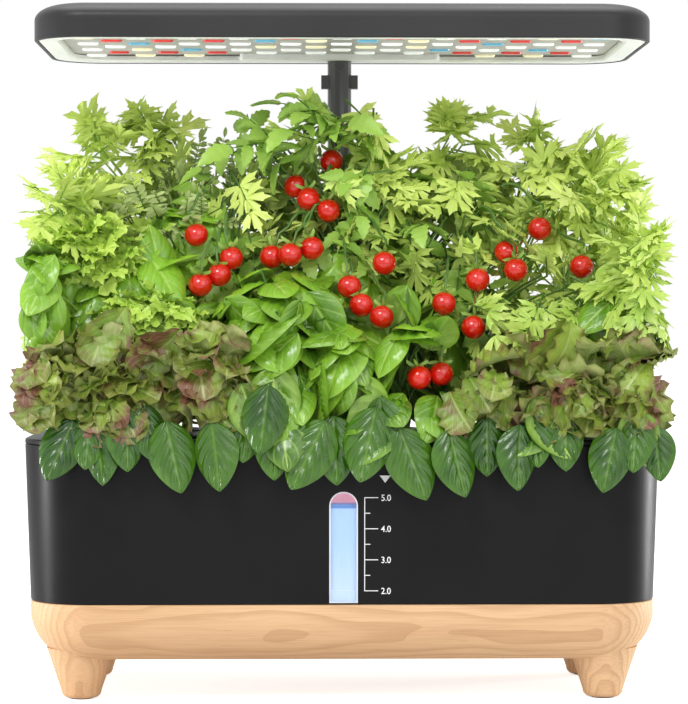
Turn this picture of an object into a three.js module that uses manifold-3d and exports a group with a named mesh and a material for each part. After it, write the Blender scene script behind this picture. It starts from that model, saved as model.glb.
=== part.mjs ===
// Countertop hydroponic garden: a drafted water tank nested in a wood base with four legs,
// a deck with thirteen planted baskets, and a grow lamp on a telescopic mast.
// Millimetres, +Z up, +X to the right, the front faces -Y.
// The origin is the centre of the footprint, on the surface that the garden stands on.

import * as THREE from 'three';
import { mergeVertices } from 'three/addons/utils/BufferGeometryUtils.js';
import Module from 'manifold-3d';

const wasm = await Module();
wasm.setup();

// Fits that all pieces share
const seatGap = 0.3; // between two pieces that rest on or in each other
const tubeFit = 0.2; // radial clearance between the two mast tubes
const moveGap = 0.5; // round pieces that turn or travel
const overrun = 3; // how far a cutting shape runs past what it cuts

// How finely round stretches are cut into flats
const cornerFacets = 4;
const edgeFacets = 4;
const roundFacets = 16;
const podFacets = 12;
const smallFacets = 8;
const fruitFacets = 6;
const socketFacets = 2;
const stalkFacets = 4;
const crownDetail = 1;
const bumpCount = 5;
const leadSteps = 26;

// Wood base and its legs
const legHeight = 24.5;
const legTopRadius = 18.5; // where the leg meets the underside of the base
const legFootRadius = 11.8; // just above the rounding of the foot
const legFootRounding = 4;
const legRootHeight = 9; // how far the cone of the leg runs on inside the base
const legInsetX = 30; // from the side of the base to the middle of the leg
const legInsetY = 34.5;
const baseHeight = 34; // from the underside to the joint with the tank
const baseFloor = 4;
const baseRimWall = 4.5;
const baseEdgeWide = 20; // the sweep of the lower edge, inwards
const baseEdgeHigh = 24; // and upwards
const baseEdgeBulge = 4; // how far in the middle of the sweep is drawn
const padRadius = 7;
const padThickness = 2;
const padProud = 0.6; // how far a pad stands out of its leg

// Water tank
const tankWidth = 375; // over the rim
const tankDepth = 172;
const tankDraft = 3.25; // how far each side leans out between the joint and the deck
const tankCornerRadius = 38; // in plan, at the joint
const tankWall = 2.5;
const tankExposedHeight = 95.5; // from the joint to the top of the deck

// Level window in the front wall, with its float
const windowWidth = 16;
const windowHeight = 64;
const windowSill = 1.4; // from the joint to the foot of the window
const windowThickness = 1.8;
const windowRecess = 0.25; // how far the clear face lies behind the wall
const channelWall = 1.8;
const channelDepth = 12;
const channelPort = 5; // square slot that lets the water in
const floatHeight = 5;
const floatRise = 48; // from the foot of the channel to the middle of the float

// Planting deck
const deckThickness = 3;
const deckEdgeRounding = 1.4;
const skirtHeight = 7; // of the rib that centres the deck in the tank
const skirtThickness = 2;
const podSideMargin = 51.5; // from the side of the tank to the last pod of the longest row
const podsAcross = 5;
const podRowPitch = 47;
const podRowsBack = -3; // how far the middle row lies behind the middle of the deck
const podHoleRadius = 15.6;

// Grow baskets and the sponge plugs in them
const basketDepth = 45;
const basketFit = 0.4; // radial, in the hole of the deck
const basketWall = 1.2;
const basketTaper = 3.2; // how much narrower the foot is, in radius
const basketFlange = 3; // how far the flange reaches past the hole
const basketLip = 4; // width of the lip that carries the plug
const stemRadius = 2.4;

// Fill port with its hinged cap
const portSize = 28;
const portMargin = 12; // from the edge of the deck to where the port may lie
const capOverlap = 3;
const capThickness = 2.6;
const capPlugHeight = 2; // of the block under the cap that centres it in the port
const capPinRadius = 1.3;
const capKnuckleRadius = 2.6;
const capEarThickness = 3;

// Pump, hung under the deck by its riser
const pumpLength = 34;
const pumpWidth = 26;
const pumpHeight = 34;
const pumpCorner = 4;
const pumpFromPod = 8; // from the last pod of the middle row to the middle of the pump
const pumpBack = 30; // from the middle of the tank to the middle of the pump
const pumpWall = 2.5;
const impellerRadius = 9;
const impellerHub = 2.5;
const impellerBlade = 1.2; // thickness
const impellerWidth = 7;
const impellerBlades = 6;
const coverThickness = 2.4;
const coverSlot = 2;
const coverSlots = 5;
const riserRadius = 4.5;
const riserBore = 3.2;
const riserInset = 8; // from the end of the pump to the riser
const leadRadius = 1.5;
const leadDrop = 6; // how far below the deck the lead runs
const leadHoleRadius = 3.6; // in the deck, wide enough for the lead to turn up

// Mast
const mastFromBack = 17; // from the back of the deck to the mast
const lowerTubeRadius = 8.75;
const lowerTubeWall = 1.05;
const upperTubeWall = 1.2;
const socketWall = 4.5;
const socketHeight = 36;
const socketTaper = 1.2; // per side, from foot to top
const socketCorner = 6;
const tubeSeatDepth = 19; // how far the lower tube goes into its socket
const collarHeight = 11;
const collarWall = 1.7;
const collarLip = 3; // height of the lip that grips the upper tube
const collarFromLamp = 64; // from the collar to the lamp, at rest
const upperTubeOverlap = 118; // of the two tubes, at rest
const jackRadius = 4.8;
const jackFlange = 1.4;
const jackDepth = 11;
const jackBore = 3.2;
const jackPin = 1;
const jackHeight = 8.5; // from the foot of the socket

// Lock tabs and the screw in the neck of the mast
const tabHeight = 8.5;
const tabWidth = 6;
const tabProud = 4.1;
const tabFlange = 1.5;
const tabFlangeSpread = 1.2;
const tabFromLamp = 12.8; // from the underside of the lamp to the middle of the tabs
const springRadius = 1.6;
const screwHeadRadius = 2.3;
const screwHeadHeight = 1;
const screwRadius = 1.2;
const screwFromLamp = 4.4;

// Lamp
const lampAbove = 232.5; // from the top of the deck to the underside of the lamp
const lampWidth = 362;
const lampDepth = 165;
const lampCornerRadius = 32;
const lampBand = 12.2; // height of the straight side
const lampCrown = 9.3; // height of the curved top edge
const lampCrownWide = 18;
const lampWall = 2.2;
const bezelWidth = 12;
const bezelThickness = 3.3;
const neckBlockWidth = 126;
const neckBlockDepth = 25;
const lensThickness = 1.7;
const lensMargin = 5; // from the side of the lamp to the edge of the lens plate
const ledBoardThickness = 1.6;
const ledRows = 8;
const ledsInRow = 10;
const ledMarginX = 7; // from the rim to the ends of the longer rows
const ledMarginY = 4.3;
const ledLength = 13;
const ledWidth = 5.6;
const ledProud = 0.9;
const controlLength = 92;
const controlWidth = 24;
const controlThickness = 1.6;
const controlPost = 5;
const switchSize = 6;
const switchHeight = 1.5;
const driverHeight = 5;
const buttonRadius = 4;
const buttonProud = 0.8;
const buttonFlange = 1.3;
const buttonStem = 1.6; // below the flange
const buttonTravel = 0.8;
const buttonPitch = 22;
const buttonsBack = 30; // from the middle of the lamp to the row of buttons
const buttonCount = 3;

// Plants
const plantGap = 0.5; // between neighbouring plants
const plantClearance = 1; // between leaves and the hard pieces near them
const foliageOverhangX = 6.5; // past the sides of the tank
const foliageOverhangY = 22; // past the front and the back
const foliageTop = 208; // above the deck
const leafThickness = 1.6; // depth of the keel under the middle of a leaf
const leafMergeDistance = 1e-2;
const leafFineness = 0.8; // details of the foliage smaller than this are smoothed away
const fruitRadius = 7.2;
const fruitStalk = 1.2;
const bumpShare = 0.16; // depth of the crown's bumps

// Heights and half sizes that follow from the sizes above
const baseBottom = legHeight;
const seam = baseBottom + baseHeight;
const deckTop = seam + tankExposedHeight;
const deckBottom = deckTop - deckThickness;
const tankRim = deckBottom - seatGap;
const tankLeanAngle = Math.atan2(tankDraft, tankExposedHeight);
const tankSeamInset = baseRimWall + seatGap;
const tankFloorLift = baseFloor + seatGap;
const tankInsideFloor = baseBottom + tankFloorLift + tankWall;
const seamHalfX = tankWidth / 2 - tankDraft;
const seamHalfY = tankDepth / 2 - tankDraft;
const basketRadius = podHoleRadius - basketFit;
const flangeRadius = podHoleRadius + basketFlange;
const mastY = tankDepth / 2 - mastFromBack;
const socketHalf = lowerTubeRadius + socketWall;
const lowerTubeBore = lowerTubeRadius - lowerTubeWall;
const upperTubeRadius = lowerTubeBore - tubeFit;
const upperTubeBore = upperTubeRadius - upperTubeWall;
const lampBottom = deckTop + lampAbove;
const lampTop = lampBottom + lampBand + lampCrown;
const neckBlockHeight = lampBand - 2 * seatGap;
const rimInset = lampWall + seatGap + bezelWidth;
const ledPitch = (lampWidth - 2 * (rimInset + ledMarginX) - ledLength) / ledsInRow;
const ledRowPitch = (lampDepth - 2 * (rimInset + ledMarginY) - ledWidth) / (ledRows - 1);
const collarTop = lampBottom - collarFromLamp;
const lowerTubeTop = collarTop - collarLip;
const podPitch = (tankWidth - 2 * podSideMargin) / (podsAcross - 1);
const podRows = [
  { y: podRowsBack - podRowPitch, count: podsAcross - 1 },
  { y: podRowsBack, count: podsAcross },
  { y: podRowsBack + podRowPitch, count: podsAcross - 1 },
];
const lastPodX = podPitch * (podRows[1].count - 1) / 2;
const lastBackPodX = podPitch * (podRows[2].count - 1) / 2;
const portX = (lastBackPodX + flangeRadius + tankWidth / 2 - portMargin) / 2;
const portY = podRows[2].y + seatGap;
const capHalf = portSize / 2 + capOverlap;
const capPinY = portY + capHalf + capKnuckleRadius;
const capPinZ = deckTop + seatGap + capKnuckleRadius;

// Materials
function finish(color, roughness, metalness) {
  return new THREE.MeshStandardMaterial({ color, roughness, metalness });
}
const lightOak = finish(0xd9ab7b, 0.55, 0);
const blackPlastic = finish(0x232324, 0.5, 0);
const lampBlack = finish(0x333335, 0.45, 0);
const rubber = finish(0x1b1b1b, 0.85, 0);
const clearPlastic = finish(0xcfe6f7, 0.1, 0);
const whitePlastic = finish(0xeef1f2, 0.45, 0);
const floatBlue = finish(0x6ea8ee, 0.4, 0);
const basketGrey = finish(0x3a3c3d, 0.6, 0);
const mastBlack = finish(0x2b2b2d, 0.35, 0.2);
const steel = finish(0xb8bcc0, 0.3, 1);
const lensPlastic = finish(0xe9e6dc, 0.3, 0);
const boardGreen = finish(0x1f5a3a, 0.6, 0);
const pumpGrey = finish(0x2d3236, 0.6, 0);
const leafRoughness = 0.55;

// Solids: closed geometries joined and cut
const mergeDistance = 1e-3; // corners nearer than this are one corner
function toSolid(geometry, distance = mergeDistance) {
  const bare = geometry.clone();
  bare.deleteAttribute('normal');
  bare.deleteAttribute('uv');
  const merged = mergeVertices(bare, distance);
  return new wasm.Manifold(new wasm.Mesh({
    numProp: 3,
    vertProperties: new Float32Array(merged.attributes.position.array),
    triVerts: new Uint32Array(merged.index.array),
  }));
}

function toGeometry(solid) {
  const mesh = solid.getMesh();
  const geometry = new THREE.BufferGeometry();
  geometry.setAttribute('position', new THREE.BufferAttribute(mesh.vertProperties, 3));
  geometry.setIndex(new THREE.BufferAttribute(mesh.triVerts, 1));
  geometry.computeVertexNormals();
  return geometry;
}

function joined(solids) {
  return wasm.Manifold.union(solids);
}

// The largest closed skin of a solid: loose bits and hollows that leaves close off are left behind
function largestSkin(solid) {
  const mesh = solid.getMesh();
  const parent = Array.from({ length: mesh.vertProperties.length / 3 }, (unused, i) => i);
  const find = (i) => {
    let top = i;
    while (parent[top] !== top) {
      parent[top] = parent[parent[top]];
      top = parent[top];
    }
    return top;
  };
  const point = (i) => new THREE.Vector3().fromArray(mesh.vertProperties, 3 * i);
  for (let t = 0; t < mesh.triVerts.length; t += 3) {
    parent[find(mesh.triVerts[t + 1])] = find(mesh.triVerts[t]);
    parent[find(mesh.triVerts[t + 2])] = find(mesh.triVerts[t]);
  }
  const skins = new Map();
  for (let t = 0; t < mesh.triVerts.length; t += 3) {
    const [a, b, c] = mesh.triVerts.slice(t, t + 3);
    const skin = skins.get(find(a)) || { volume: 0, index: [] };
    skin.volume += point(a).dot(point(b).cross(point(c))) / 6;
    skin.index.push(a, b, c);
    skins.set(find(a), skin);
  }
  const largest = [...skins.values()].reduce((best, skin) => (skin.volume > best.volume ? skin : best));
  return new wasm.Manifold(new wasm.Mesh({
    numProp: 3,
    vertProperties: mesh.vertProperties,
    triVerts: new Uint32Array(largest.index),
  }));
}

// Whether two sheets of a skin touch at an edge or a corner: the faces round a corner
// of a sound skin form one closed fan
function isPinched(solid) {
  const mesh = solid.getMesh();
  const corner = (i) => Array.from(mesh.vertProperties.slice(3 * i, 3 * i + 3), (v) => v.toFixed(3)).join(' ');
  const fans = new Map();
  for (let t = 0; t < mesh.triVerts.length; t += 3) {
    const ends = [0, 1, 2].map((k) => corner(mesh.triVerts[t + k]));
    ends.forEach((end, k) => {
      const fan = fans.get(end) || { next: new Map(), faces: 0 };
      fan.next.set(ends[(k + 1) % 3], ends[(k + 2) % 3]);
      fan.faces += 1;
      fans.set(end, fan);
    });
  }
  return [...fans.values()].some((fan) => {
    const [start] = fan.next.keys();
    let here = fan.next.get(start);
    let steps = 1;
    while (here !== start && steps <= fan.faces) {
      here = fan.next.get(here);
      steps += 1;
    }
    return here !== start || steps !== fan.faces;
  });
}

function boxSolid(sizeX, sizeY, sizeZ, x, y, bottomZ) {
  const box = new THREE.BoxGeometry(sizeX, sizeY, sizeZ);
  box.translate(x, y, bottomZ + sizeZ / 2);
  return toSolid(box);
}

function rodSolid(radius, height, x, y, bottomZ, facets = roundFacets) {
  const rod = new THREE.CylinderGeometry(radius, radius, height, facets);
  rod.rotateX(Math.PI / 2);
  rod.translate(x, y, bottomZ + height / 2);
  return toSolid(rod);
}

// A turned piece: the profile is a list of [radius, height] that is turned about Z
function turnedGeometry(profile, facets = roundFacets) {
  const points = profile.map(([radius, height]) => new THREE.Vector2(radius, height));
  const turned = new THREE.LatheGeometry(points, facets);
  turned.rotateX(Math.PI / 2);
  return turned;
}

// A solid skinned over closed rings of equal count, listed from its lower to its upper end
function loftGeometry(rings) {
  const count = rings[0].length;
  const geometry = new THREE.BufferGeometry().setFromPoints(rings.flat());
  const index = [];
  for (let k = 0; k + 1 < rings.length; k += 1) {
    for (let i = 0; i < count; i += 1) {
      const here = k * count + i;
      const next = k * count + (i + 1) % count;
      index.push(here, next, next + count);
      index.push(here, next + count, here + count);
    }
  }
  const last = (rings.length - 1) * count;
  for (let i = 1; i + 1 < count; i += 1) {
    index.push(0, i + 1, i);
    index.push(last, last + i, last + i + 1);
  }
  geometry.setIndex(index);
  return geometry;
}

// A rounded rectangle as a ring of points, anticlockwise seen from above
function roundedRing(halfX, halfY, radius, z, facets = cornerFacets) {
  const ring = [];
  const corners = [[1, 1], [-1, 1], [-1, -1], [1, -1]];
  corners.forEach(([signX, signY], quarter) => {
    for (let i = 0; i <= facets; i += 1) {
      const angle = (quarter + i / facets) * Math.PI / 2;
      ring.push(new THREE.Vector3(
        signX * (halfX - radius) + radius * Math.cos(angle),
        signY * (halfY - radius) + radius * Math.sin(angle),
        z,
      ));
    }
  });
  return ring;
}

// The outline of base and tank at a height, drawn in by an inset
function bodyRing(inset, z) {
  const lean = z > seam ? tankDraft * (z - seam) / tankExposedHeight : 0;
  return roundedRing(
    seamHalfX + lean - inset,
    seamHalfY + lean - inset,
    tankCornerRadius + lean - inset,
    z,
  );
}

// The rings of the swept lower edge, drawn in by an inset and raised by a lift
function edgeRings(inset, lift) {
  const sweep = new THREE.QuadraticBezierCurve(
    new THREE.Vector2(baseEdgeWide, 0),
    new THREE.Vector2(baseEdgeBulge, baseEdgeHigh / edgeFacets),
    new THREE.Vector2(0, baseEdgeHigh),
  );
  return sweep.getPoints(edgeFacets).map((point) => bodyRing(inset + point.x, baseBottom + lift + point.y));
}

// A mesh with its name, added to a group
function addMesh(group, name, geometry, material) {
  const mesh = new THREE.Mesh(geometry, material);
  mesh.name = name;
  group.add(mesh);
  return mesh;
}

function addSolid(group, name, solid, material) {
  return addMesh(group, name, toGeometry(solid), material);
}

function eachLeg(visit) {
  const names = ['front_left', 'front_right', 'rear_left', 'rear_right'];
  names.forEach((name, i) => {
    const signX = i % 2 === 0 ? -1 : 1;
    const signY = i < 2 ? -1 : 1;
    visit(name, signX * (seamHalfX - legInsetX), signY * (seamHalfY - legInsetY));
  });
}

// Base: one moulding with four tapered legs, open above for the tank
function legSolid(x, y) {
  const slope = (legTopRadius - legFootRadius) / (legHeight - padProud - legFootRounding);
  const round = (share) => {
    const angle = share * Math.PI / 2;
    return [
      legFootRadius - legFootRounding * (1 - Math.sin(angle)),
      padProud + legFootRounding * (1 - Math.cos(angle)),
    ];
  };
  const shares = [0, 0.5, 1];
  const profile = [[0, padProud], ...shares.map(round)];
  profile.push([legTopRadius + slope * legRootHeight, legHeight + legRootHeight]);
  profile.push([0, legHeight + legRootHeight]);
  const leg = turnedGeometry(profile);
  leg.translate(x, y, 0);
  const pocketHeight = padThickness - padProud + seatGap;
  const pocket = rodSolid(padRadius + seatGap, pocketHeight + overrun, x, y, padProud - overrun);
  return toSolid(leg).subtract(pocket);
}

function buildBase(group) {
  const shell = toSolid(loftGeometry([...edgeRings(0, 0), bodyRing(0, seam)]));
  const pocket = toSolid(loftGeometry([...edgeRings(baseRimWall, baseFloor), bodyRing(baseRimWall, seam + overrun)]));
  const pieces = [shell];
  eachLeg((name, x, y) => pieces.push(legSolid(x, y)));
  addSolid(group, 'wood_base', joined(pieces).subtract(pocket), lightOak);
  eachLeg((name, x, y) => {
    const pad = new THREE.CylinderGeometry(padRadius, padRadius, padThickness, roundFacets);
    const mesh = addMesh(group, `foot_pad_${name}`, pad, rubber);
    mesh.rotation.x = Math.PI / 2;
    mesh.position.set(x, y, padThickness / 2);
  });
}

// The window's frame of reference: its foot lies on the front wall, and it leans with the wall
function windowPlace(outwards) {
  const foot = seam + windowSill;
  const wallY = -(seamHalfY + tankDraft * windowSill / tankExposedHeight);
  const place = new THREE.Matrix4().makeRotationX(tankLeanAngle);
  place.setPosition(0, wallY - outwards, foot);
  return place;
}

// The outline of the window, X across and Z up, thickened towards -Y from its back at zero
function windowBlock(grow, thickness) {
  const half = windowWidth / 2 + grow;
  const shoulder = windowHeight - windowWidth / 2;
  const outline = new THREE.Shape();
  outline.moveTo(-half, -grow);
  outline.lineTo(half, -grow);
  outline.lineTo(half, shoulder);
  outline.absarc(0, shoulder, half, 0, Math.PI, false);
  const options = { depth: thickness, bevelEnabled: false, curveSegments: cornerFacets * 2 };
  const block = new THREE.ExtrudeGeometry(outline, options);
  block.rotateX(Math.PI / 2);
  return block;
}

// Tank: its foot nests in the base, its walls lean out to the rim
function buildTank(group) {
  const step = seam + seatGap;
  const outside = [
    ...edgeRings(tankSeamInset, tankFloorLift),
    bodyRing(tankSeamInset, step),
    bodyRing(0, step),
    bodyRing(0, tankRim),
  ];
  const innerInset = tankSeamInset + tankWall;
  const inside = [
    ...edgeRings(innerInset, tankFloorLift + tankWall),
    bodyRing(innerInset, step + tankWall),
    bodyRing(tankWall, step + tankWall),
    bodyRing(tankWall, tankRim + overrun),
  ];
  const opening = windowBlock(seatGap, tankWall + 2 * overrun);
  opening.applyMatrix4(windowPlace(-tankWall - overrun));
  const tank = toSolid(loftGeometry(outside))
    .subtract(toSolid(loftGeometry(inside)))
    .subtract(toSolid(opening));
  addSolid(group, 'water_tank', tank, blackPlastic);

  const pane = windowBlock(0, windowThickness);
  pane.applyMatrix4(windowPlace(-windowRecess - windowThickness));
  addMesh(group, 'level_window', pane, clearPlastic);
  buildSightChannel(group);
}

// Channel behind the window, open towards it, with the float that rides in it
function buildSightChannel(group) {
  const back = new THREE.Group();
  back.applyMatrix4(windowPlace(-tankWall - seatGap));
  group.add(back);
  const foot = tankWall + seatGap + channelWall;
  const height = windowHeight - foot;
  const inner = windowWidth;
  const outerWidth = inner + 2 * channelWall;
  const trough = boxSolid(outerWidth, channelDepth, height + channelWall, 0, channelDepth / 2, foot);
  const hollowDepth = channelDepth - channelWall;
  const hollowBottom = foot + channelWall;
  const hollow = boxSolid(inner, hollowDepth + overrun, height - channelWall, 0, (hollowDepth - overrun) / 2, hollowBottom);
  const port = boxSolid(channelPort, channelDepth, channelPort, 0, channelDepth, hollowBottom);
  addSolid(back, 'sight_channel', trough.subtract(hollow).subtract(port), whitePlastic);

  const floatDepth = hollowDepth - 2 * moveGap;
  const float = new THREE.BoxGeometry(inner - 2 * moveGap, floatDepth, floatHeight);
  const mesh = addMesh(back, 'level_float', float, floatBlue);
  mesh.position.set(0, hollowDepth / 2, hollowBottom + floatRise);
}

// Every pod with its place
function eachPod(visit) {
  let number = 0;
  podRows.forEach((row) => {
    for (let i = 0; i < row.count; i += 1) {
      number += 1;
      visit(number, podPitch * (i - (row.count - 1) / 2), row.y);
    }
  });
}

// Pump: where it stands in the tank
const pumpX = -(lastPodX - pumpFromPod);
const riserX = pumpX - pumpLength / 2 + riserInset;
const leadX = pumpX + pumpLength / 2 - riserInset;
const pumpBottom = tankInsideFloor + seatGap;
const pumpTop = pumpBottom + pumpHeight;
const impellerAxisZ = pumpBottom + pumpWall + moveGap + impellerRadius;
const impellerDepth = impellerWidth + 2 * moveGap;

// Deck: a plate with a centring skirt, thirteen pod holes, the fill port and the lead hole
function buildDeck(group) {
  const plate = toSolid(loftGeometry([
    bodyRing(0, deckBottom),
    bodyRing(0, deckTop - deckEdgeRounding),
    bodyRing(deckEdgeRounding, deckTop),
  ]));
  const skirtInset = tankWall + seatGap;
  const skirtBottom = deckBottom - skirtHeight;
  const lean = tankDraft * skirtHeight / tankExposedHeight;
  const skirt = toSolid(loftGeometry([bodyRing(skirtInset, skirtBottom), bodyRing(skirtInset + lean, deckTop - deckEdgeRounding)]));
  const skirtHollow = toSolid(loftGeometry([
    bodyRing(skirtInset + skirtThickness, skirtBottom - overrun),
    bodyRing(skirtInset + skirtThickness, deckBottom),
  ]));
  const cuts = [];
  const cutBottom = deckBottom - overrun;
  const cutHeight = deckThickness + 2 * overrun;
  eachPod((number, x, y) => cuts.push(rodSolid(podHoleRadius, cutHeight, x, y, cutBottom, podFacets)));
  cuts.push(boxSolid(portSize, portSize, cutHeight, portX, portY, cutBottom));
  cuts.push(rodSolid(leadHoleRadius, cutHeight, 0, mastY, cutBottom, podFacets));
  const ears = [-1, 1].map((side) => capEar(side));
  const deck = joined([plate, skirt]).subtract(skirtHollow).subtract(joined(cuts));
  addSolid(group, 'grow_deck', joined([deck, ...ears]), blackPlastic);
}

// One of the two ears on the deck that hold the pin of the fill cap
function capEar(side) {
  const x = portX + side * (capHalf - capEarThickness / 2);
  const earRadius = capKnuckleRadius - seatGap;
  const block = boxSolid(capEarThickness, 2 * earRadius, capPinZ - deckTop, x, capPinY, deckTop);
  const top = pinWay(earRadius, capEarThickness, x);
  return joined([block, top]).subtract(pinWay(capPinRadius + seatGap, capEarThickness + overrun, x));
}

// A round solid along the axis of the cap's pin
function pinWay(radius, length, x) {
  const rod = new THREE.CylinderGeometry(radius, radius, length, podFacets);
  rod.rotateZ(Math.PI / 2);
  rod.translate(x, capPinY, capPinZ);
  return toSolid(rod);
}

// Fill cap with the knuckle that turns on the pin
function buildFillCap(group) {
  const size = 2 * capHalf;
  const plate = boxSolid(size, size, capThickness, portX, portY, deckTop + seatGap);
  const plugSize = portSize - 4 * moveGap;
  const plug = boxSolid(plugSize, plugSize, capPlugHeight + seatGap, portX, portY, deckTop - capPlugHeight);
  const knuckleLength = size - 2 * capEarThickness - 2 * moveGap;
  const knuckle = pinWay(capKnuckleRadius, knuckleLength, portX);
  const web = boxSolid(knuckleLength, capKnuckleRadius * 2, capThickness, portX, capPinY - capKnuckleRadius, deckTop + seatGap);
  const cap = joined([plate, plug, knuckle, web]).subtract(pinWay(capPinRadius + seatGap, size, portX));
  addSolid(group, 'fill_cap', cap, blackPlastic);
  const pin = new THREE.CylinderGeometry(capPinRadius, capPinRadius, size, podFacets);
  const mesh = addMesh(group, 'fill_cap_pin', pin, steel);
  mesh.rotation.z = Math.PI / 2;
  mesh.position.set(portX, capPinY, capPinZ);
}

// Baskets: tapered cups with a flange on the deck and a lip under the plug
const basketFoot = basketRadius - basketTaper;
function basketGeometry() {
  const seat = seatGap;
  const flangeTop = seat + basketWall;
  const lipTop = basketWall - basketDepth;
  return turnedGeometry([
    [basketFoot, -basketDepth],
    [basketRadius, seat],
    [flangeRadius, seat],
    [basketRadius - basketWall, flangeTop],
    [basketFoot - basketWall, lipTop],
    [basketFoot - basketLip, lipTop],
    [basketFoot - basketLip, -basketDepth],
    [basketFoot, -basketDepth],
  ], podFacets);
}

function buildBaskets(group) {
  const geometry = basketGeometry();
  eachPod((number, x, y) => {
    const name = `grow_basket_${String(number).padStart(2, '0')}`;
    addMesh(group, name, geometry, basketGrey).position.set(x, y, deckTop);
  });
}

// Pump body, cover, impeller, riser and lead
function placedSolid(geometry, x, y, z) {
  geometry.translate(x, y, z);
  return toSolid(geometry);
}

function buildPump(group) {
  const frontY = pumpBack - pumpWidth / 2;
  const shell = toSolid(loftGeometry([
    roundedRing(pumpLength / 2, pumpWidth / 2, pumpCorner, pumpBottom, 2),
    roundedRing(pumpLength / 2, pumpWidth / 2, pumpCorner, pumpTop, 2),
  ])).translate([pumpX, pumpBack, 0]);
  const chamberRadius = impellerRadius + moveGap;
  const chamberCut = new THREE.CylinderGeometry(chamberRadius, chamberRadius, impellerDepth + overrun, roundFacets);
  const chamber = placedSolid(chamberCut, pumpX, frontY + (impellerDepth - overrun) / 2, impellerAxisZ);
  const outletHeight = pumpTop - impellerAxisZ;
  const outletY = frontY + impellerDepth / 2;
  const outlet = rodSolid(riserBore, outletHeight + overrun, riserX, outletY, impellerAxisZ, podFacets);
  addSolid(group, 'pump_body', shell.subtract(chamber).subtract(outlet), pumpGrey);

  const coverY = frontY - seatGap - coverThickness / 2;
  const coverWidth = pumpLength - 2 * pumpCorner;
  const cover = boxSolid(coverWidth, coverThickness, pumpHeight, pumpX, coverY, pumpBottom);
  const slotPitch = 2 * impellerRadius / coverSlots;
  const slots = [];
  for (let i = 0; i < coverSlots; i += 1) {
    const x = pumpX + slotPitch * (i - (coverSlots - 1) / 2);
    slots.push(boxSolid(coverSlot, coverThickness + overrun, impellerRadius, x, coverY, impellerAxisZ - impellerRadius / 2));
  }
  addSolid(group, 'pump_cover', cover.subtract(joined(slots)), pumpGrey);

  const hub = placedSolid(new THREE.CylinderGeometry(impellerHub, impellerHub, impellerWidth, podFacets), 0, 0, 0);
  const blades = [hub];
  for (let i = 0; i < impellerBlades; i += 1) {
    const blade = new THREE.BoxGeometry(impellerRadius, impellerWidth, impellerBlade);
    blade.translate(impellerRadius / 2, 0, 0);
    blade.rotateY(2 * Math.PI * i / impellerBlades);
    blades.push(toSolid(blade));
  }
  const impeller = addSolid(group, 'pump_impeller', joined(blades), whitePlastic);
  impeller.position.set(pumpX, frontY + impellerDepth / 2, impellerAxisZ);

  const riserBottom = pumpTop + seatGap;
  const riserTop = deckBottom - seatGap;
  const riser = turnedGeometry([
    [riserBore, riserBottom],
    [riserRadius, riserBottom],
    [riserRadius, riserTop],
    [riserBore, riserTop],
    [riserBore, riserBottom],
  ], podFacets);
  addMesh(group, 'pump_riser', riser, pumpGrey).position.set(riserX, outletY, 0);
  buildPumpLead(group);
}

// The lead climbs from the pump, runs under the deck and turns up into the foot of the mast
function buildPumpLead(group) {
  const runZ = deckBottom - leadDrop;
  const betweenRowsY = (podRows[1].y + podRows[2].y) / 2;
  const route = new THREE.CatmullRomCurve3([
    new THREE.Vector3(leadX, pumpBack, pumpTop + seatGap),
    new THREE.Vector3(leadX, pumpBack, (pumpTop + runZ) / 2),
    new THREE.Vector3(leadX, (pumpBack + betweenRowsY) / 2, runZ - leadDrop),
    new THREE.Vector3(leadX / 2, betweenRowsY, runZ),
    new THREE.Vector3(-podPitch / 4, betweenRowsY, runZ),
    new THREE.Vector3(0, (betweenRowsY + mastY) / 2, runZ),
    new THREE.Vector3(0, mastY - leadDrop / 2, runZ),
    new THREE.Vector3(0, mastY, deckBottom),
    new THREE.Vector3(0, mastY, deckTop),
  ], false, 'centripetal');
  const section = new THREE.Shape();
  section.absarc(0, 0, leadRadius, 0, 2 * Math.PI, false);
  const lead = new THREE.ExtrudeGeometry(section, {
    steps: leadSteps, curveSegments: stalkFacets, bevelEnabled: false, extrudePath: route,
  });
  addMesh(group, 'pump_lead', lead, rubber);
}

// Mast foot: the socket on the deck, with the power jack in its back
function buildMastFoot(group) {
  const foot = deckTop + seatGap;
  const block = toSolid(loftGeometry([
    roundedRing(socketHalf, socketHalf, socketCorner, foot, socketFacets),
    roundedRing(socketHalf - socketTaper, socketHalf - socketTaper, socketCorner, foot + socketHeight, socketFacets),
  ])).translate([0, mastY, 0]);
  const seatRadius = lowerTubeRadius + seatGap;
  const seatBottom = foot + socketHeight - tubeSeatDepth - seatGap;
  const seat = rodSolid(seatRadius, tubeSeatDepth + overrun, 0, mastY, seatBottom);
  const leadWay = rodSolid(leadHoleRadius, socketHeight, 0, mastY, foot - overrun, podFacets);
  const jackHole = new THREE.CylinderGeometry(jackRadius + seatGap, jackRadius + seatGap, jackDepth + overrun, podFacets);
  const jackFace = mastY + socketHalf;
  const jackCut = placedSolid(jackHole, 0, jackFace - jackDepth / 2 + overrun / 2 - seatGap, foot + jackHeight);
  addSolid(group, 'mast_socket', block.subtract(seat).subtract(leadWay).subtract(jackCut), blackPlastic);

  const jack = turnedGeometry([
    [0, 0],
    [jackRadius, 0],
    [jackRadius, jackDepth + seatGap],
    [jackRadius + jackFlange, jackDepth + seatGap],
    [jackRadius + jackFlange, jackDepth + seatGap + jackFlange],
    [jackBore, jackDepth + seatGap + jackFlange],
    [jackBore, jackFlange],
    [jackPin, jackFlange],
    [jackPin, jackDepth - jackFlange],
    [0, jackDepth - jackFlange],
  ], podFacets);
  const jackMesh = addMesh(group, 'power_jack', jack, blackPlastic);
  jackMesh.rotation.x = -Math.PI / 2;
  jackMesh.position.set(0, jackFace - jackDepth, foot + jackHeight);
}

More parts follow.
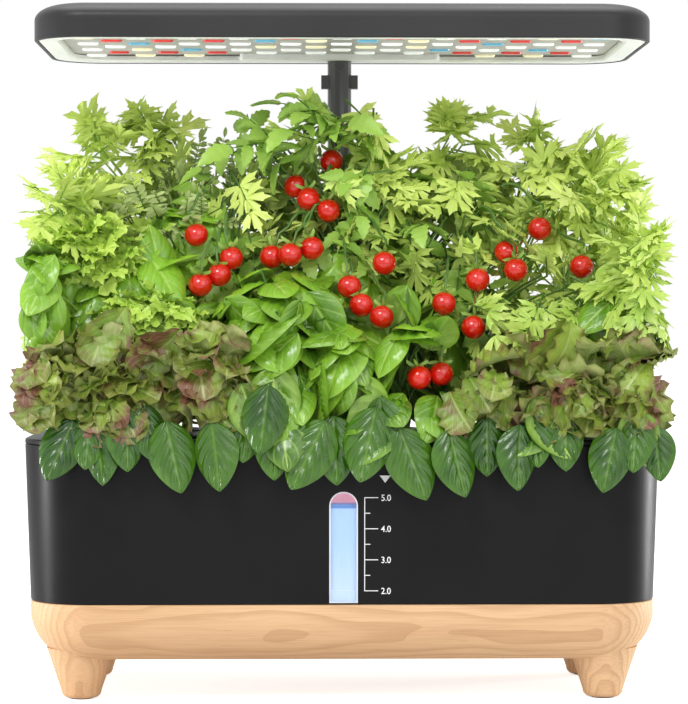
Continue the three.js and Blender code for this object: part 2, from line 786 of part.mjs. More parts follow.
// Mast tubes and the collar that grips the upper one
function buildMastTubes(fixed, moving) {
  const lowerBottom = deckTop + seatGap + socketHeight - tubeSeatDepth;
  const lower = turnedGeometry([
    [lowerTubeBore, lowerBottom],
    [lowerTubeRadius, lowerBottom],
    [lowerTubeRadius, lowerTubeTop],
    [lowerTubeBore, lowerTubeTop],
    [lowerTubeBore, lowerBottom],
  ]);
  addMesh(fixed, 'mast_lower_tube', lower, mastBlack).position.set(0, mastY, 0);

  const collarBottom = collarTop - collarHeight;
  const collarBore = lowerTubeRadius + seatGap;
  const lipBottom = lowerTubeTop + seatGap;
  const collar = turnedGeometry([
    [collarBore, collarBottom],
    [collarBore + collarWall, collarBottom],
    [collarBore + collarWall, collarTop],
    [lowerTubeBore, collarTop],
    [lowerTubeBore, lipBottom],
    [collarBore, lipBottom],
    [collarBore, collarBottom],
  ]);
  addMesh(fixed, 'mast_collar', collar, mastBlack).position.set(0, mastY, 0);

  const upperBottom = collarTop - upperTubeOverlap;
  const upperTop = lampBottom + neckBlockHeight - bezelThickness;
  const upper = toSolid(turnedGeometry([
    [upperTubeBore, upperBottom],
    [upperTubeRadius, upperBottom],
    [upperTubeRadius, upperTop],
    [upperTubeBore, upperTop],
    [upperTubeBore, upperBottom],
  ]));
  const tabZ = lampBottom - tabFromLamp;
  const tabWindow = boxSolid(
    2 * (upperTubeRadius + overrun), tabWidth + 2 * seatGap, tabHeight + 2 * seatGap,
    0, 0, tabZ - tabHeight / 2 - seatGap,
  );
  const screwHole = new THREE.CylinderGeometry(screwRadius + seatGap, screwRadius + seatGap, upperTubeRadius, podFacets);
  const screwCut = placedSolid(screwHole, 0, -upperTubeRadius, lampBottom - screwFromLamp);
  addSolid(moving, 'mast_upper_tube', upper.subtract(tabWindow).subtract(screwCut), mastBlack)
    .position.set(0, mastY, 0);
  buildLockTabs(moving, tabZ);
  buildNeckScrew(moving);
}

// Two spring-loaded tabs, left and right, that lock the lamp on the mast
function buildLockTabs(group, tabZ) {
  const halfFlange = tabWidth / 2 + tabFlangeSpread / 2;
  const apothem = upperTubeBore * Math.cos(Math.PI / roundFacets);
  const wallX = Math.sqrt(apothem ** 2 - halfFlange ** 2);
  const flangeOuter = wallX - seatGap;
  const reach = upperTubeRadius + tabProud;
  const flangeHeight = tabHeight + 2 * tabFlangeSpread;
  ['left', 'right'].forEach((name, i) => {
    const side = i === 0 ? -1 : 1;
    const stemLength = reach - flangeOuter + tabFlange / 2;
    const stemX = side * (reach - stemLength / 2);
    const stem = boxSolid(stemLength, tabWidth, tabHeight, stemX, 0, -tabHeight / 2);
    const flangeX = side * (flangeOuter - tabFlange / 2);
    const flange = boxSolid(tabFlange, 2 * halfFlange, flangeHeight, flangeX, 0, -flangeHeight / 2);
    addSolid(group, `lock_tab_${name}`, joined([stem, flange]), mastBlack).position.set(0, mastY, tabZ);
  });
  const springLength = 2 * (flangeOuter - tabFlange - seatGap);
  const spring = new THREE.CylinderGeometry(springRadius, springRadius, springLength, podFacets);
  const mesh = addMesh(group, 'tab_spring', spring, steel);
  mesh.rotation.z = Math.PI / 2;
  mesh.position.set(0, mastY, tabZ);
}

function buildNeckScrew(group) {
  const shank = upperTubeWall + seatGap;
  const screw = turnedGeometry([
    [0, 0],
    [screwRadius, 0],
    [screwRadius, shank],
    [screwHeadRadius, shank],
    [screwHeadRadius, shank + screwHeadHeight],
    [0, shank + screwHeadHeight],
  ], smallFacets);
  const mesh = addMesh(group, 'neck_screw', screw, steel);
  mesh.rotation.x = Math.PI / 2;
  mesh.position.set(0, mastY - upperTubeRadius + upperTubeWall, lampBottom - screwFromLamp);
}

// The outline of the lamp at a height, drawn in by an inset
function lampRing(inset, z) {
  return roundedRing(lampWidth / 2 - inset, lampDepth / 2 - inset, lampCornerRadius - inset, z);
}

// Lamp shell: straight sides under a curved top edge, open below
const lampShoulder = lampBottom + lampBand;
const lampInsideTop = lampTop - lampWall;
const lensZ = lampBottom + seatGap + bezelThickness + seatGap;
const ledBoardZ = lensZ + lensThickness + seatGap;
const controlZ = ledBoardZ + ledBoardThickness + seatGap;
const neckFrontY = lampDepth / 2 - lampWall - seatGap - neckBlockDepth;

function buttonX(i) {
  return buttonPitch * (i - (buttonCount - 1) / 2);
}

function buildLampShell(group) {
  const outside = [lampRing(0, lampBottom)];
  for (let i = 0; i <= edgeFacets; i += 1) {
    const angle = i / edgeFacets * Math.PI / 2;
    outside.push(lampRing(lampCrownWide * (1 - Math.cos(angle)), lampShoulder + lampCrown * Math.sin(angle)));
  }
  const inside = [
    lampRing(lampWall, lampBottom - overrun),
    lampRing(lampWall, lampShoulder),
    lampRing(lampCrownWide * 2 / 3, lampInsideTop),
  ];
  const holes = [];
  for (let i = 0; i < buttonCount; i += 1) {
    holes.push(rodSolid(buttonRadius + seatGap, lampWall + 2 * overrun, buttonX(i), buttonsBack, lampInsideTop - overrun, podFacets));
  }
  const shell = toSolid(loftGeometry(outside)).subtract(toSolid(loftGeometry(inside))).subtract(joined(holes));
  addSolid(group, 'lamp_shell', shell, lampBlack);
}

// White rim under the lamp, with the neck block that holds the top of the mast
function buildBezel(group) {
  const outerInset = lampWall + seatGap;
  const bottom = lampBottom + seatGap;
  const top = bottom + bezelThickness;
  const rim = toSolid(loftGeometry([lampRing(outerInset, bottom), lampRing(outerInset, top)]));
  const window = toSolid(loftGeometry([lampRing(rimInset, bottom - overrun), lampRing(rimInset, top + overrun)]));
  const blockY = neckFrontY + neckBlockDepth / 2;
  const block = boxSolid(neckBlockWidth, neckBlockDepth, neckBlockHeight, 0, blockY, bottom);
  const trimmed = block.intersect(toSolid(loftGeometry([lampRing(outerInset, bottom), lampRing(outerInset, lampTop)])));
  const bore = rodSolid(upperTubeRadius + seatGap, neckBlockHeight + 2 * overrun, 0, mastY, bottom - overrun);
  addSolid(group, 'lamp_bezel', joined([rim.subtract(window), trimmed]).subtract(bore), whitePlastic);
}

// A plate inside the lamp with a notch for the neck block
function lampPlate(margin, thickness, z) {
  const plate = toSolid(loftGeometry([lampRing(margin, z), lampRing(margin, z + thickness)]));
  const width = neckBlockWidth + 2 * seatGap;
  const notch = boxSolid(width, lampDepth, lampTop - lampBottom, 0, neckFrontY - seatGap + lampDepth / 2, lampBottom);
  return plate.subtract(notch);
}

// Lens plate with rows of pill-shaped lenses, every second row set over by half a pitch
function pillSolid(x, y) {
  const straight = (ledLength - ledWidth) / 2;
  const outline = new THREE.Shape();
  outline.moveTo(-straight, -ledWidth / 2);
  outline.lineTo(straight, -ledWidth / 2);
  outline.lineTo(ledLength / 2, 0);
  outline.lineTo(straight, ledWidth / 2);
  outline.lineTo(-straight, ledWidth / 2);
  outline.lineTo(-ledLength / 2, 0);
  const pill = new THREE.ExtrudeGeometry(outline, { depth: ledProud + lensThickness / 2, bevelEnabled: false });
  pill.translate(x, y, lensZ - ledProud);
  return toSolid(pill);
}

function buildLensPlate(group) {
  const pills = [];
  const firstY = -ledRowPitch * (ledRows - 1) / 2;
  for (let row = 0; row < ledRows; row += 1) {
    const y = firstY + ledRowPitch * row;
    const count = row % 2 === 0 ? ledsInRow : ledsInRow + 1;
    for (let i = 0; i < count; i += 1) {
      const x = ledPitch * (i - (count - 1) / 2);
      const behindNeck = y + ledWidth > neckFrontY && Math.abs(x) < neckBlockWidth / 2 + ledLength;
      if (!behindNeck) {
        pills.push(pillSolid(x, y));
      }
    }
  }
  const plate = lampPlate(lensMargin, lensThickness, lensZ);
  addSolid(group, 'led_lens_plate', joined([plate, ...pills]), lensPlastic);
}

// Control board on two posts, with the driver block and one switch under each button
const buttonFlangeTop = lampInsideTop - seatGap;
const buttonBottom = buttonFlangeTop - buttonFlange - buttonStem;
function buildControlBoard(group) {
  const switchTop = buttonBottom - buttonTravel - seatGap;
  const boardZ = switchTop - switchHeight - controlThickness;
  const pieces = [boxSolid(controlLength, controlWidth, controlThickness, 0, buttonsBack, boardZ)];
  [-1, 1].forEach((side) => {
    const x = side * (controlLength - controlPost) / 2;
    pieces.push(boxSolid(controlPost, controlWidth, boardZ - controlZ + controlThickness, x, buttonsBack, controlZ));
  });
  for (let i = 0; i < buttonCount; i += 1) {
    const height = switchHeight + controlThickness / 2;
    pieces.push(boxSolid(switchSize, switchSize, height, buttonX(i), buttonsBack, switchTop - height));
  }
  const driverLength = controlLength / 2;
  const driverBottom = boardZ - driverHeight / 2;
  pieces.push(boxSolid(driverLength, controlWidth / 2, driverHeight / 2 + controlThickness / 2, 0, buttonsBack, driverBottom));
  addSolid(group, 'control_board', joined(pieces), boardGreen);
}

function buildButtons(group) {
  const button = turnedGeometry([
    [0, buttonBottom],
    [buttonRadius / 2, buttonBottom],
    [buttonRadius / 2, buttonFlangeTop - buttonFlange],
    [buttonRadius + buttonFlange, buttonFlangeTop - buttonFlange],
    [buttonRadius + buttonFlange, buttonFlangeTop],
    [buttonRadius, buttonFlangeTop],
    [buttonRadius, lampTop + buttonProud / 2],
    [buttonRadius - buttonProud / 2, lampTop + buttonProud],
    [0, lampTop + buttonProud],
  ], smallFacets);
  const names = ['left', 'middle', 'right'];
  for (let i = 0; i < buttonCount; i += 1) {
    const name = `lamp_button_${names[i]}`;
    addMesh(group, name, button, lampBlack).position.set(buttonX(i), buttonsBack, 0);
  }
}

function buildLamp(group) {
  buildLampShell(group);
  buildBezel(group);
  buildLensPlate(group);
  const board = lampPlate(lensMargin + seatGap, ledBoardThickness, ledBoardZ);
  addSolid(group, 'led_board', board, boardGreen);
  buildControlBoard(group);
  buildButtons(group);
}

// Leaves: a leaf is a folded blade that arches along its length, rise and fall being
// the angles above the level at its root and at its tip
const bladeShares = [[0, 0.1], [0.38, 0.8], [0.7, 0.95], [1, 0.05]]; // of the length and of the half width
function leafSolid(leaf, origin, heading) {
  const out = new THREE.Vector3(Math.cos(heading), Math.sin(heading), 0);
  const across = new THREE.Vector3(-Math.sin(heading), Math.cos(heading), 0);
  const up = new THREE.Vector3(0, 0, 1);
  const centre = origin.clone();
  const rings = bladeShares.map(([lengthShare, share], k) => {
    const angle = leaf.rise + (leaf.fall - leaf.rise) * lengthShare;
    const along = out.clone().multiplyScalar(Math.cos(angle)).addScaledVector(up, Math.sin(angle));
    const normal = out.clone().multiplyScalar(-Math.sin(angle)).addScaledVector(up, Math.cos(angle));
    if (k > 0) {
      centre.addScaledVector(along, leaf.length * (lengthShare - bladeShares[k - 1][0]));
    }
    const half = leaf.width / 2 * share;
    const edge = leaf.foldShare * half;
    const ruffle = leaf.ruffleShare * half * (k % 2 === 0 ? 1 : -1);
    const place = (side, height) => centre.clone().addScaledVector(across, side).addScaledVector(normal, height);
    return [
      place(half, edge + ruffle),
      place(-half, edge - ruffle),
      place(0, -leafThickness),
    ];
  });
  return toSolid(loftGeometry(rings));
}

// A tier of leaves: its height as a share of the plant's, its leaf count, the leaf's length
// and width as shares of the pod pitch, the angles of rise and fall, and its turn, in degrees
const basilTierShares = [
  [0.42, 5, 0.96, 0.6, 12, -78, 0],
  [0.7, 4, 0.7, 0.56, 42, -30, 30],
];
const lettuceTierShares = [
  [0.3, 6, 1.06, 0.66, 22, -62, 15],
  [0.5, 4, 0.8, 0.62, 62, 0, 45],
];
const tallBasilTierShares = [
  [0.5, 4, 0.86, 0.62, 25, -50, 20],
  [0.74, 4, 0.74, 0.56, 52, -16, 60],
];
const celeryTierShares = [
  [0.38, 4, 1.26, 0.46, 48, -12, 10],
  [0.64, 4, 1.2, 0.46, 70, 28, 45],
];
const tomatoTierShares = [
  [0.5, 3, 0.86, 0.48, 32, -36, 0],
  [0.72, 3, 0.8, 0.46, 40, -24, 60],
  [0.88, 3, 0.5, 0.36, 66, 12, 20],
];
const cressTierShares = [
  [0.42, 5, 0.96, 0.6, 30, -40, 0],
  [0.68, 4, 0.76, 0.54, 58, 8, 30],
];
// The crown is the dense middle of a plant: its foot and its top as shares of the height,
// and how much of the pod's space it takes up
const habits = {
  basil: { tierShares: basilTierShares, crownShares: [0.02, 0.84, 0.86], foldShare: 0.05, ruffleShare: 0, color: 0x4f9a34 },
  lettuce: { tierShares: lettuceTierShares, crownShares: [0.02, 0.76, 0.84], foldShare: 0.15, ruffleShare: 0.16, color: 0x8a8a4a },
  tall_basil: { tierShares: tallBasilTierShares, crownShares: [0.06, 0.88, 0.88], foldShare: 0.05, ruffleShare: 0, color: 0x5aa63c },
  celery: { tierShares: celeryTierShares, crownShares: [0.05, 0.84, 0.84], foldShare: 0.1, ruffleShare: 0.1, color: 0x6fae3e },
  tomato: { tierShares: tomatoTierShares, crownShares: [0.08, 0.78, 0.8], foldShare: 0.05, ruffleShare: 0.05, color: 0x4a8f37 },
  cress: { tierShares: cressTierShares, crownShares: [0.04, 0.86, 0.88], foldShare: 0.15, ruffleShare: 0.16, color: 0x93c653 },
};

// What grows in each pod, front row first, left to right. The height is a share of the
// foliage's, and each fruit's place is in shares of the pod pitch, the row pitch and the height.
const highFruitShares = [[-0.3, -0.3, 0.9], [-0.12, -0.36, 0.82], [0.18, -0.34, 0.76], [0.3, -0.28, 0.93]];
const lowFruitShares = [[-0.28, -0.36, 0.8], [0.02, -0.38, 0.72], [0.26, -0.36, 0.84]];
const planting = [
  { habit: 'lettuce', heightShare: 0.34, turn: 14 },
  { habit: 'basil', heightShare: 0.44, turn: -30 },
  { habit: 'basil', heightShare: 0.46, turn: 20 },
  { habit: 'lettuce', heightShare: 0.32, turn: 56 },
  { habit: 'cress', heightShare: 0.7, turn: 24 },
  { habit: 'tomato', heightShare: 0.72, turn: 35, fruitShares: lowFruitShares },
  { habit: 'tomato', heightShare: 0.97, turn: -50, fruitShares: highFruitShares },
  { habit: 'tomato', heightShare: 0.74, turn: 15, fruitShares: lowFruitShares },
  { habit: 'celery', heightShare: 0.72, turn: 25 },
  { habit: 'celery', heightShare: 0.86, turn: 0 },
  { habit: 'cress', heightShare: 0.98, turn: 20 },
  { habit: 'tall_basil', heightShare: 0.96, turn: 0 },
  { habit: 'celery', heightShare: 0.9, turn: 70 },
];
const plantHalfX = tankWidth / 2 + foliageOverhangX;
const plantHalfY = tankDepth / 2 + foliageOverhangY;
const plantLimit = deckTop + foliageTop;

// The part of an outline that lies behind a line, given by a point on it and its outward normal
function cutOutline(outline, point, normal) {
  const kept = [];
  outline.forEach((corner, i) => {
    const next = outline[(i + 1) % outline.length];
    const here = corner.clone().sub(point).dot(normal);
    const there = next.clone().sub(point).dot(normal);
    if (here <= 0) {
      kept.push(corner);
    }
    if (here * there < 0) {
      kept.push(corner.clone().lerp(next, here / (here - there)));
    }
  });
  return kept;
}

// The outline of the space that belongs to one pod: nearer to it than to any other,
// and inside the outline of the foliage
function podOutline(x, y) {
  const site = new THREE.Vector2(x, y);
  let outline = [[-1, -1], [1, -1], [1, 1], [-1, 1]]
    .map(([signX, signY]) => new THREE.Vector2(signX * plantHalfX, signY * plantHalfY));
  eachPod((number, otherX, otherY) => {
    const away = new THREE.Vector2(otherX, otherY).sub(site);
    if (away.length() > 0) {
      const reach = away.length() / 2 - plantGap / 2;
      const normal = away.normalize();
      outline = cutOutline(outline, site.clone().addScaledVector(normal, reach), normal);
    }
  });
  return outline;
}

// The dense middle of a plant: a bumpy ball, stretched over the pod's space
function crownSolid(outline, height, [footShare, topShare, fillShare]) {
  const space = new THREE.Box2().setFromPoints(outline);
  const middle = space.getCenter(new THREE.Vector2());
  const half = space.getSize(new THREE.Vector2()).multiplyScalar(fillShare / 2);
  const halfZ = height * (topShare - footShare) / 2;
  const ball = new THREE.IcosahedronGeometry(1, crownDetail);
  const places = ball.attributes.position;
  for (let i = 0; i < places.count; i += 1) {
    const place = new THREE.Vector3().fromBufferAttribute(places, i);
    const wave = Math.sin(bumpCount * Math.atan2(place.y, place.x)) * Math.cos(bumpCount * Math.asin(place.z));
    place.multiplyScalar(1 - bumpShare * (1 + wave) / 2);
    places.setXYZ(i, place.x * half.x, place.y * half.y, place.z * halfZ);
  }
  ball.translate(middle.x, middle.y, deckTop + height * footShare + halfZ);
  return toSolid(ball);
}

// What the leaves keep clear of: tank and deck, the foot of the mast, the mast and the open cap
function hardPieces() {
  const clear = plantClearance;
  const coverTop = deckTop + seatGap + basketWall + clear;
  const body = toSolid(loftGeometry([bodyRing(-clear, 0), bodyRing(-clear, seam), bodyRing(-clear, deckTop), bodyRing(-clear, coverTop)]));
  const footSize = 2 * (socketHalf + jackFlange + 2 * clear);
  const foot = boxSolid(footSize, footSize, socketHeight + seatGap + clear, 0, mastY, deckTop);
  const mast = rodSolid(upperTubeRadius + tabProud + clear, lampTop - deckTop, 0, mastY, deckTop);
  const capFront = portY - capHalf - clear;
  const capBack = capPinY + 3 * capKnuckleRadius + clear;
  const capSwing = 2 * capHalf + 3 * capKnuckleRadius + clear;
  const cap = boxSolid(2 * (capHalf + clear), capBack - capFront, capSwing, portX, (capFront + capBack) / 2, deckTop);
  return joined([body, foot, mast, cap]);
}

// The sponge plug in its basket, with the foot of the stem
function plugSolid(x, y) {
  const foot = deckTop - basketDepth + basketWall + seatGap;
  const top = deckTop + seatGap;
  const slim = basketWall + seatGap;
  const plug = turnedGeometry([
    [0, foot],
    [basketFoot - slim, foot],
    [basketRadius - slim, top],
    [stemRadius, top],
    [stemRadius, top + 3 * stemRadius],
    [0, top + 3 * stemRadius],
  ], podFacets);
  plug.translate(x, y, 0);
  return toSolid(plug);
}

function stalkSolid(from, to, radius) {
  const along = to.clone().sub(from);
  const stalk = new THREE.CylinderGeometry(radius, radius, along.length(), stalkFacets);
  stalk.applyQuaternion(new THREE.Quaternion().setFromUnitVectors(new THREE.Vector3(0, 1, 0), along.clone().normalize()));
  stalk.translate(...from.clone().add(to).multiplyScalar(1 / 2).toArray());
  return toSolid(stalk);
}

function plantSolid(plan, x, y, obstacles, extraTurn) {
  const habit = habits[plan.habit];
  const height = foliageTop * plan.heightShare;
  const outline = podOutline(x, y);
  const space = new THREE.ExtrudeGeometry(new THREE.Shape(outline), { depth: plantLimit - seam, bevelEnabled: false });
  space.translate(0, 0, seam);
  const middle = new THREE.Box2().setFromPoints(outline).getCenter(new THREE.Vector2());
  const root = new THREE.Vector3(middle.x, middle.y, deckTop);
  const stemFoot = new THREE.Vector3(x, y, deckTop);
  const topTier = habit.tierShares[habit.tierShares.length - 1];
  const stemTop = root.clone().setZ(deckTop + height * topTier[0] + stemRadius);
  const solids = [stalkSolid(stemFoot, stemTop, stemRadius), crownSolid(outline, height, habit.crownShares)];
  habit.tierShares.forEach(([heightShare, count, lengthShare, widthShare, rise, fall, turn]) => {
    const leaf = {
      length: podPitch * lengthShare,
      width: podPitch * widthShare,
      rise: THREE.MathUtils.degToRad(rise),
      fall: THREE.MathUtils.degToRad(fall),
      foldShare: habit.foldShare,
      ruffleShare: habit.ruffleShare,
    };
    for (let i = 0; i < count; i += 1) {
      const heading = THREE.MathUtils.degToRad(plan.turn + extraTurn + turn) + 2 * Math.PI * i / count;
      const origin = root.clone().setZ(deckTop + height * heightShare + stemRadius * (i % 2 === 0 ? 1 : -1));
      solids.push(leafSolid(leaf, origin, heading));
    }
  });
  (plan.fruitShares || []).forEach(([acrossShare, forwardShare, upShare]) => {
    const centre = new THREE.Vector3(x + podPitch * acrossShare, y + podRowPitch * forwardShare, deckTop + height * upShare);
    const fruit = new THREE.SphereGeometry(fruitRadius, fruitFacets, fruitFacets - 2);
    fruit.rotateX(Math.PI / 2);
    fruit.translate(...centre.toArray());
    solids.push(toSolid(fruit));
    const node = root.clone().setZ(Math.min(centre.z + fruitRadius, stemTop.z - stemRadius));
    solids.push(stalkSolid(node, centre, fruitStalk));
  });
  const foliage = joined(solids).intersect(toSolid(space)).subtract(obstacles);
  const skin = largestSkin(joined([foliage, plugSolid(x, y)]).simplify(leafFineness));
  return largestSkin(toSolid(toGeometry(skin), leafMergeDistance));
}

// A plant, turned on a little where two of its leaves only just touch
const smallTurn = 3;
const mostTurns = 8;
function settledPlant(plan, x, y, obstacles) {
  let plant = plantSolid(plan, x, y, obstacles, 0);
  for (let i = 1; i < mostTurns && isPinched(plant); i += 1) {
    plant = plantSolid(plan, x, y, obstacles, smallTurn * i);
  }
  return plant;
}

function buildPlants(group) {
  const obstacles = hardPieces();
  const seen = {};
  eachPod((number, x, y) => {
    const plan = planting[number - 1];
    seen[plan.habit] = (seen[plan.habit] || 0) + 1;
    const name = `${plan.habit}_plant_${seen[plan.habit]}`;
    addSolid(group, name, settledPlant(plan, x, y, obstacles), finish(habits[plan.habit].color, leafRoughness, 0));
  });
}

// The whole garden: the tank stands still, the deck lifts out of it with the mast and the plants,
// and the lamp head slides on the mast
const garden = new THREE.Group();
const deckGroup = new THREE.Group();
const lampGroup = new THREE.Group();
garden.add(deckGroup);
deckGroup.add(lampGroup);
buildBase(garden);
buildTank(garden);
buildDeck(deckGroup);
buildFillCap(deckGroup);
buildBaskets(deckGroup);
buildPump(deckGroup);
buildMastFoot(deckGroup);
buildMastTubes(deckGroup, lampGroup);
buildLamp(lampGroup);
buildPlants(deckGroup);

export default garden;
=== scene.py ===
"""Looks of the countertop hydroponic garden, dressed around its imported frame.

Metres, +Z up, +X to the right and the front facing -Y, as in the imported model.
Sizes in the classes below are millimetres, and MM turns them into metres.
"""

from __future__ import annotations

import functools
import logging
import math
import random
from dataclasses import dataclass, field
from enum import Enum
from typing import Callable, Iterable, Sequence

import bpy
import numpy as np
from mathutils import Matrix, Vector


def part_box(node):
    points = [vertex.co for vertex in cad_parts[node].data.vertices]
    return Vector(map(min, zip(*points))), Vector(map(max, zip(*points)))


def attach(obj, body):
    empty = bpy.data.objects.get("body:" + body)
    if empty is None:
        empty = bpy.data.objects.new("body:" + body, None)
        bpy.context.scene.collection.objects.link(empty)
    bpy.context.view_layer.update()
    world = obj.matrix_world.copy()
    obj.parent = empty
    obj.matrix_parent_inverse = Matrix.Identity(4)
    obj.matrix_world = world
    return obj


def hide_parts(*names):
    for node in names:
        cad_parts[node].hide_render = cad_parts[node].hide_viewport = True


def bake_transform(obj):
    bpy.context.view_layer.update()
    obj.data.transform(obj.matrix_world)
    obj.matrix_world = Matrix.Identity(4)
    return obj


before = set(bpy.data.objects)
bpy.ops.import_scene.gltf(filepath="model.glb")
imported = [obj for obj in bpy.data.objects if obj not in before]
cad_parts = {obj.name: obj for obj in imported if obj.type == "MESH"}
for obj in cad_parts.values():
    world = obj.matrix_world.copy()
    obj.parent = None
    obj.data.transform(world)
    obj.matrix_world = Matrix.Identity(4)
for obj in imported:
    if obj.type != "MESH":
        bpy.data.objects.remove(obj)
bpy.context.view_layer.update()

MM = 0.001
SEED = 20
TURN = 6.28
CREASE = 35.0
log = logging.getLogger("garden")

Spot = tuple[float, float]
Vec = tuple[float, float, float]
Ring = list[Vec]
Shape = tuple[list[Vec], list[list[int]]]
Colour = tuple[float, float, float, float]
Material = bpy.types.Material
Piece = bpy.types.Object
Socket = bpy.types.NodeSocket
Arrays = tuple[np.ndarray, ...]
Place = tuple[Vector, Vector]


def paint(red: int, green: int, blue: int) -> Colour:
    """Turn a colour as it is seen, 0 to 255, into the linear one that a shader takes.

    Args:
        red: Red share, 0 to 255.
        green: Green share, 0 to 255.
        blue: Blue share, 0 to 255.

    Returns:
        The linear colour with full alpha.
    """
    def linear(channel: int) -> float:
        """Linear value of one channel."""
        share = channel / 255
        return share / 12.92 if share <= 0.04045 else ((share + 0.055) / 1.055) ** 2.4

    return linear(red), linear(green), linear(blue), 1.0


def shaded(colour: Colour, factor: float, lift: float = 0.0) -> Colour:
    """A colour made lighter or darker, with full alpha."""
    return tuple(min(1.0, channel * factor + lift) for channel in colour[:3]) + (1.0,)


WHITE: Colour = (1.0, 1.0, 1.0, 1.0)


class NodeSheet:
    """A material's node tree, with short ways to add what the finishes share."""

    def __init__(self, name: str, **sockets: float | Colour) -> None:
        """Make the material and set its shader's sockets.

        Args:
            name: The material's name.
            **sockets: Shader sockets, with underscores for spaces.
        """
        self.material = bpy.data.materials.new(name)
        self.material.use_nodes = True
        self.nodes = self.material.node_tree.nodes
        self.links = self.material.node_tree.links
        self.shader = self.nodes["Principled BSDF"]
        for label, value in sockets.items():
            self.shader.inputs[label.replace("_", " ")].default_value = value

    def add(self, kind: str, feeds: dict[str, object] | None = None, **settings: object) -> bpy.types.Node:
        """Add a node.

        Args:
            kind: The node's type.
            feeds: Values or output sockets for its inputs, by input name.
            **settings: Properties of the node.

        Returns:
            The node.
        """
        node = self.nodes.new(kind)
        for label, value in settings.items():
            setattr(node, label, value)
        for label, value in (feeds or {}).items():
            self.feed(node.inputs[label], value)
        return node

    def feed(self, socket: Socket, value: object) -> None:
        """Link an output to a socket, or set the socket's own value."""
        if isinstance(value, Socket):
            self.links.new(value, socket)
        else:
            socket.default_value = value

    def to_shader(self, label: str, value: Socket) -> None:
        """Link an output to one of the shader's sockets."""
        self.links.new(value, self.shader.inputs[label])

    def colour(self, value: Socket) -> None:
        """Link an output to the shader's colour."""
        self.to_shader("Base Color", value)

    def place(self, scale: Vec = (1, 1, 1)) -> Socket:
        """Place on the object in metres, stretched by a scale."""
        coords = self.add("ShaderNodeTexCoord").outputs["Object"]
        return self.add("ShaderNodeMapping", {"Vector": coords, "Scale": scale}).outputs["Vector"]

    def axes(self) -> Sequence[Socket]:
        """Place on the object along X, Y and Z."""
        return self.add("ShaderNodeSeparateXYZ", {"Vector": self.place()}).outputs

    def noise(self, scale: float, detail: float = 2, roughness: float = 0.5) -> Socket:
        """Smooth random value round one half."""
        feeds = {"Vector": self.place(), "Scale": scale, "Detail": detail, "Roughness": roughness}
        return self.add("ShaderNodeTexNoise", feeds).outputs["Fac"]

    def streaks(self, stretch: Vec, detail: float = 2) -> Socket:
        """Smooth random value, stretched by its own number of waves to the metre along each axis."""
        feeds = {"Vector": self.place(stretch), "Scale": 1.0, "Detail": detail, "Roughness": 0.5}
        return self.add("ShaderNodeTexNoise", feeds).outputs["Fac"]

    def leaf_marks(self) -> Sequence[Socket]:
        """Across, along and tone, which a leaf or fruit carries at its corners; the tone holds painted shade and light
        as well as a random spread.
        """
        mark = self.add("ShaderNodeAttribute", attribute_name="leaf").outputs["Vector"]
        return self.add("ShaderNodeSeparateXYZ", {"Vector": mark}).outputs

    def sums(self, operation: str, first: object, second: object = 0.0, third: object = 0.0) -> Socket:
        """One step of arithmetic.

        Args:
            operation: The Math node's operation.
            first: A value or an output.
            second: Another one, where the operation takes two.
            third: Another one, where it takes three.

        Returns:
            The result.
        """
        node = self.add("ShaderNodeMath", operation=operation)
        for socket, value in zip(node.inputs, (first, second, third)):
            self.feed(socket, value)
        return node.outputs[0]

    def times(self, first: object, second: object) -> Socket:
        """Product of two values."""
        return self.sums("MULTIPLY", first, second)

    def spread(self, value: Socket, low: float, high: float, to_low: float = 0.0, to_high: float = 1.0) -> Socket:
        """Map a range of values smoothly to another one.

        Args:
            value: The value.
            low: Start of its range.
            high: End of its range.
            to_low: What the start becomes.
            to_high: What the end becomes.

        Returns:
            The new value.
        """
        node = self.add("ShaderNodeMapRange", interpolation_type="SMOOTHSTEP")
        for socket, number in zip(node.inputs, (value, low, high, to_low, to_high)):
            self.feed(socket, number)
        return node.outputs[0]

    def blend(self, share: object, first: object, second: object) -> Socket:
        """Mix of two colours.

        Args:
            share: Share of the second one.
            first: A colour or an output.
            second: Another one.

        Returns:
            The mixed colour.
        """
        node = self.add("ShaderNodeMix", data_type="RGBA")
        for index, value in ((0, share), (6, first), (7, second)):
            self.feed(node.inputs[index], value)
        return node.outputs[2]

    def bump(self, height: Socket, strength: float, distance: float = 0.0001) -> None:
        """Let a height roughen the surface."""
        node = self.add("ShaderNodeBump", {"Height": height, "Strength": strength, "Distance": distance})
        self.to_shader("Normal", node.outputs["Normal"])


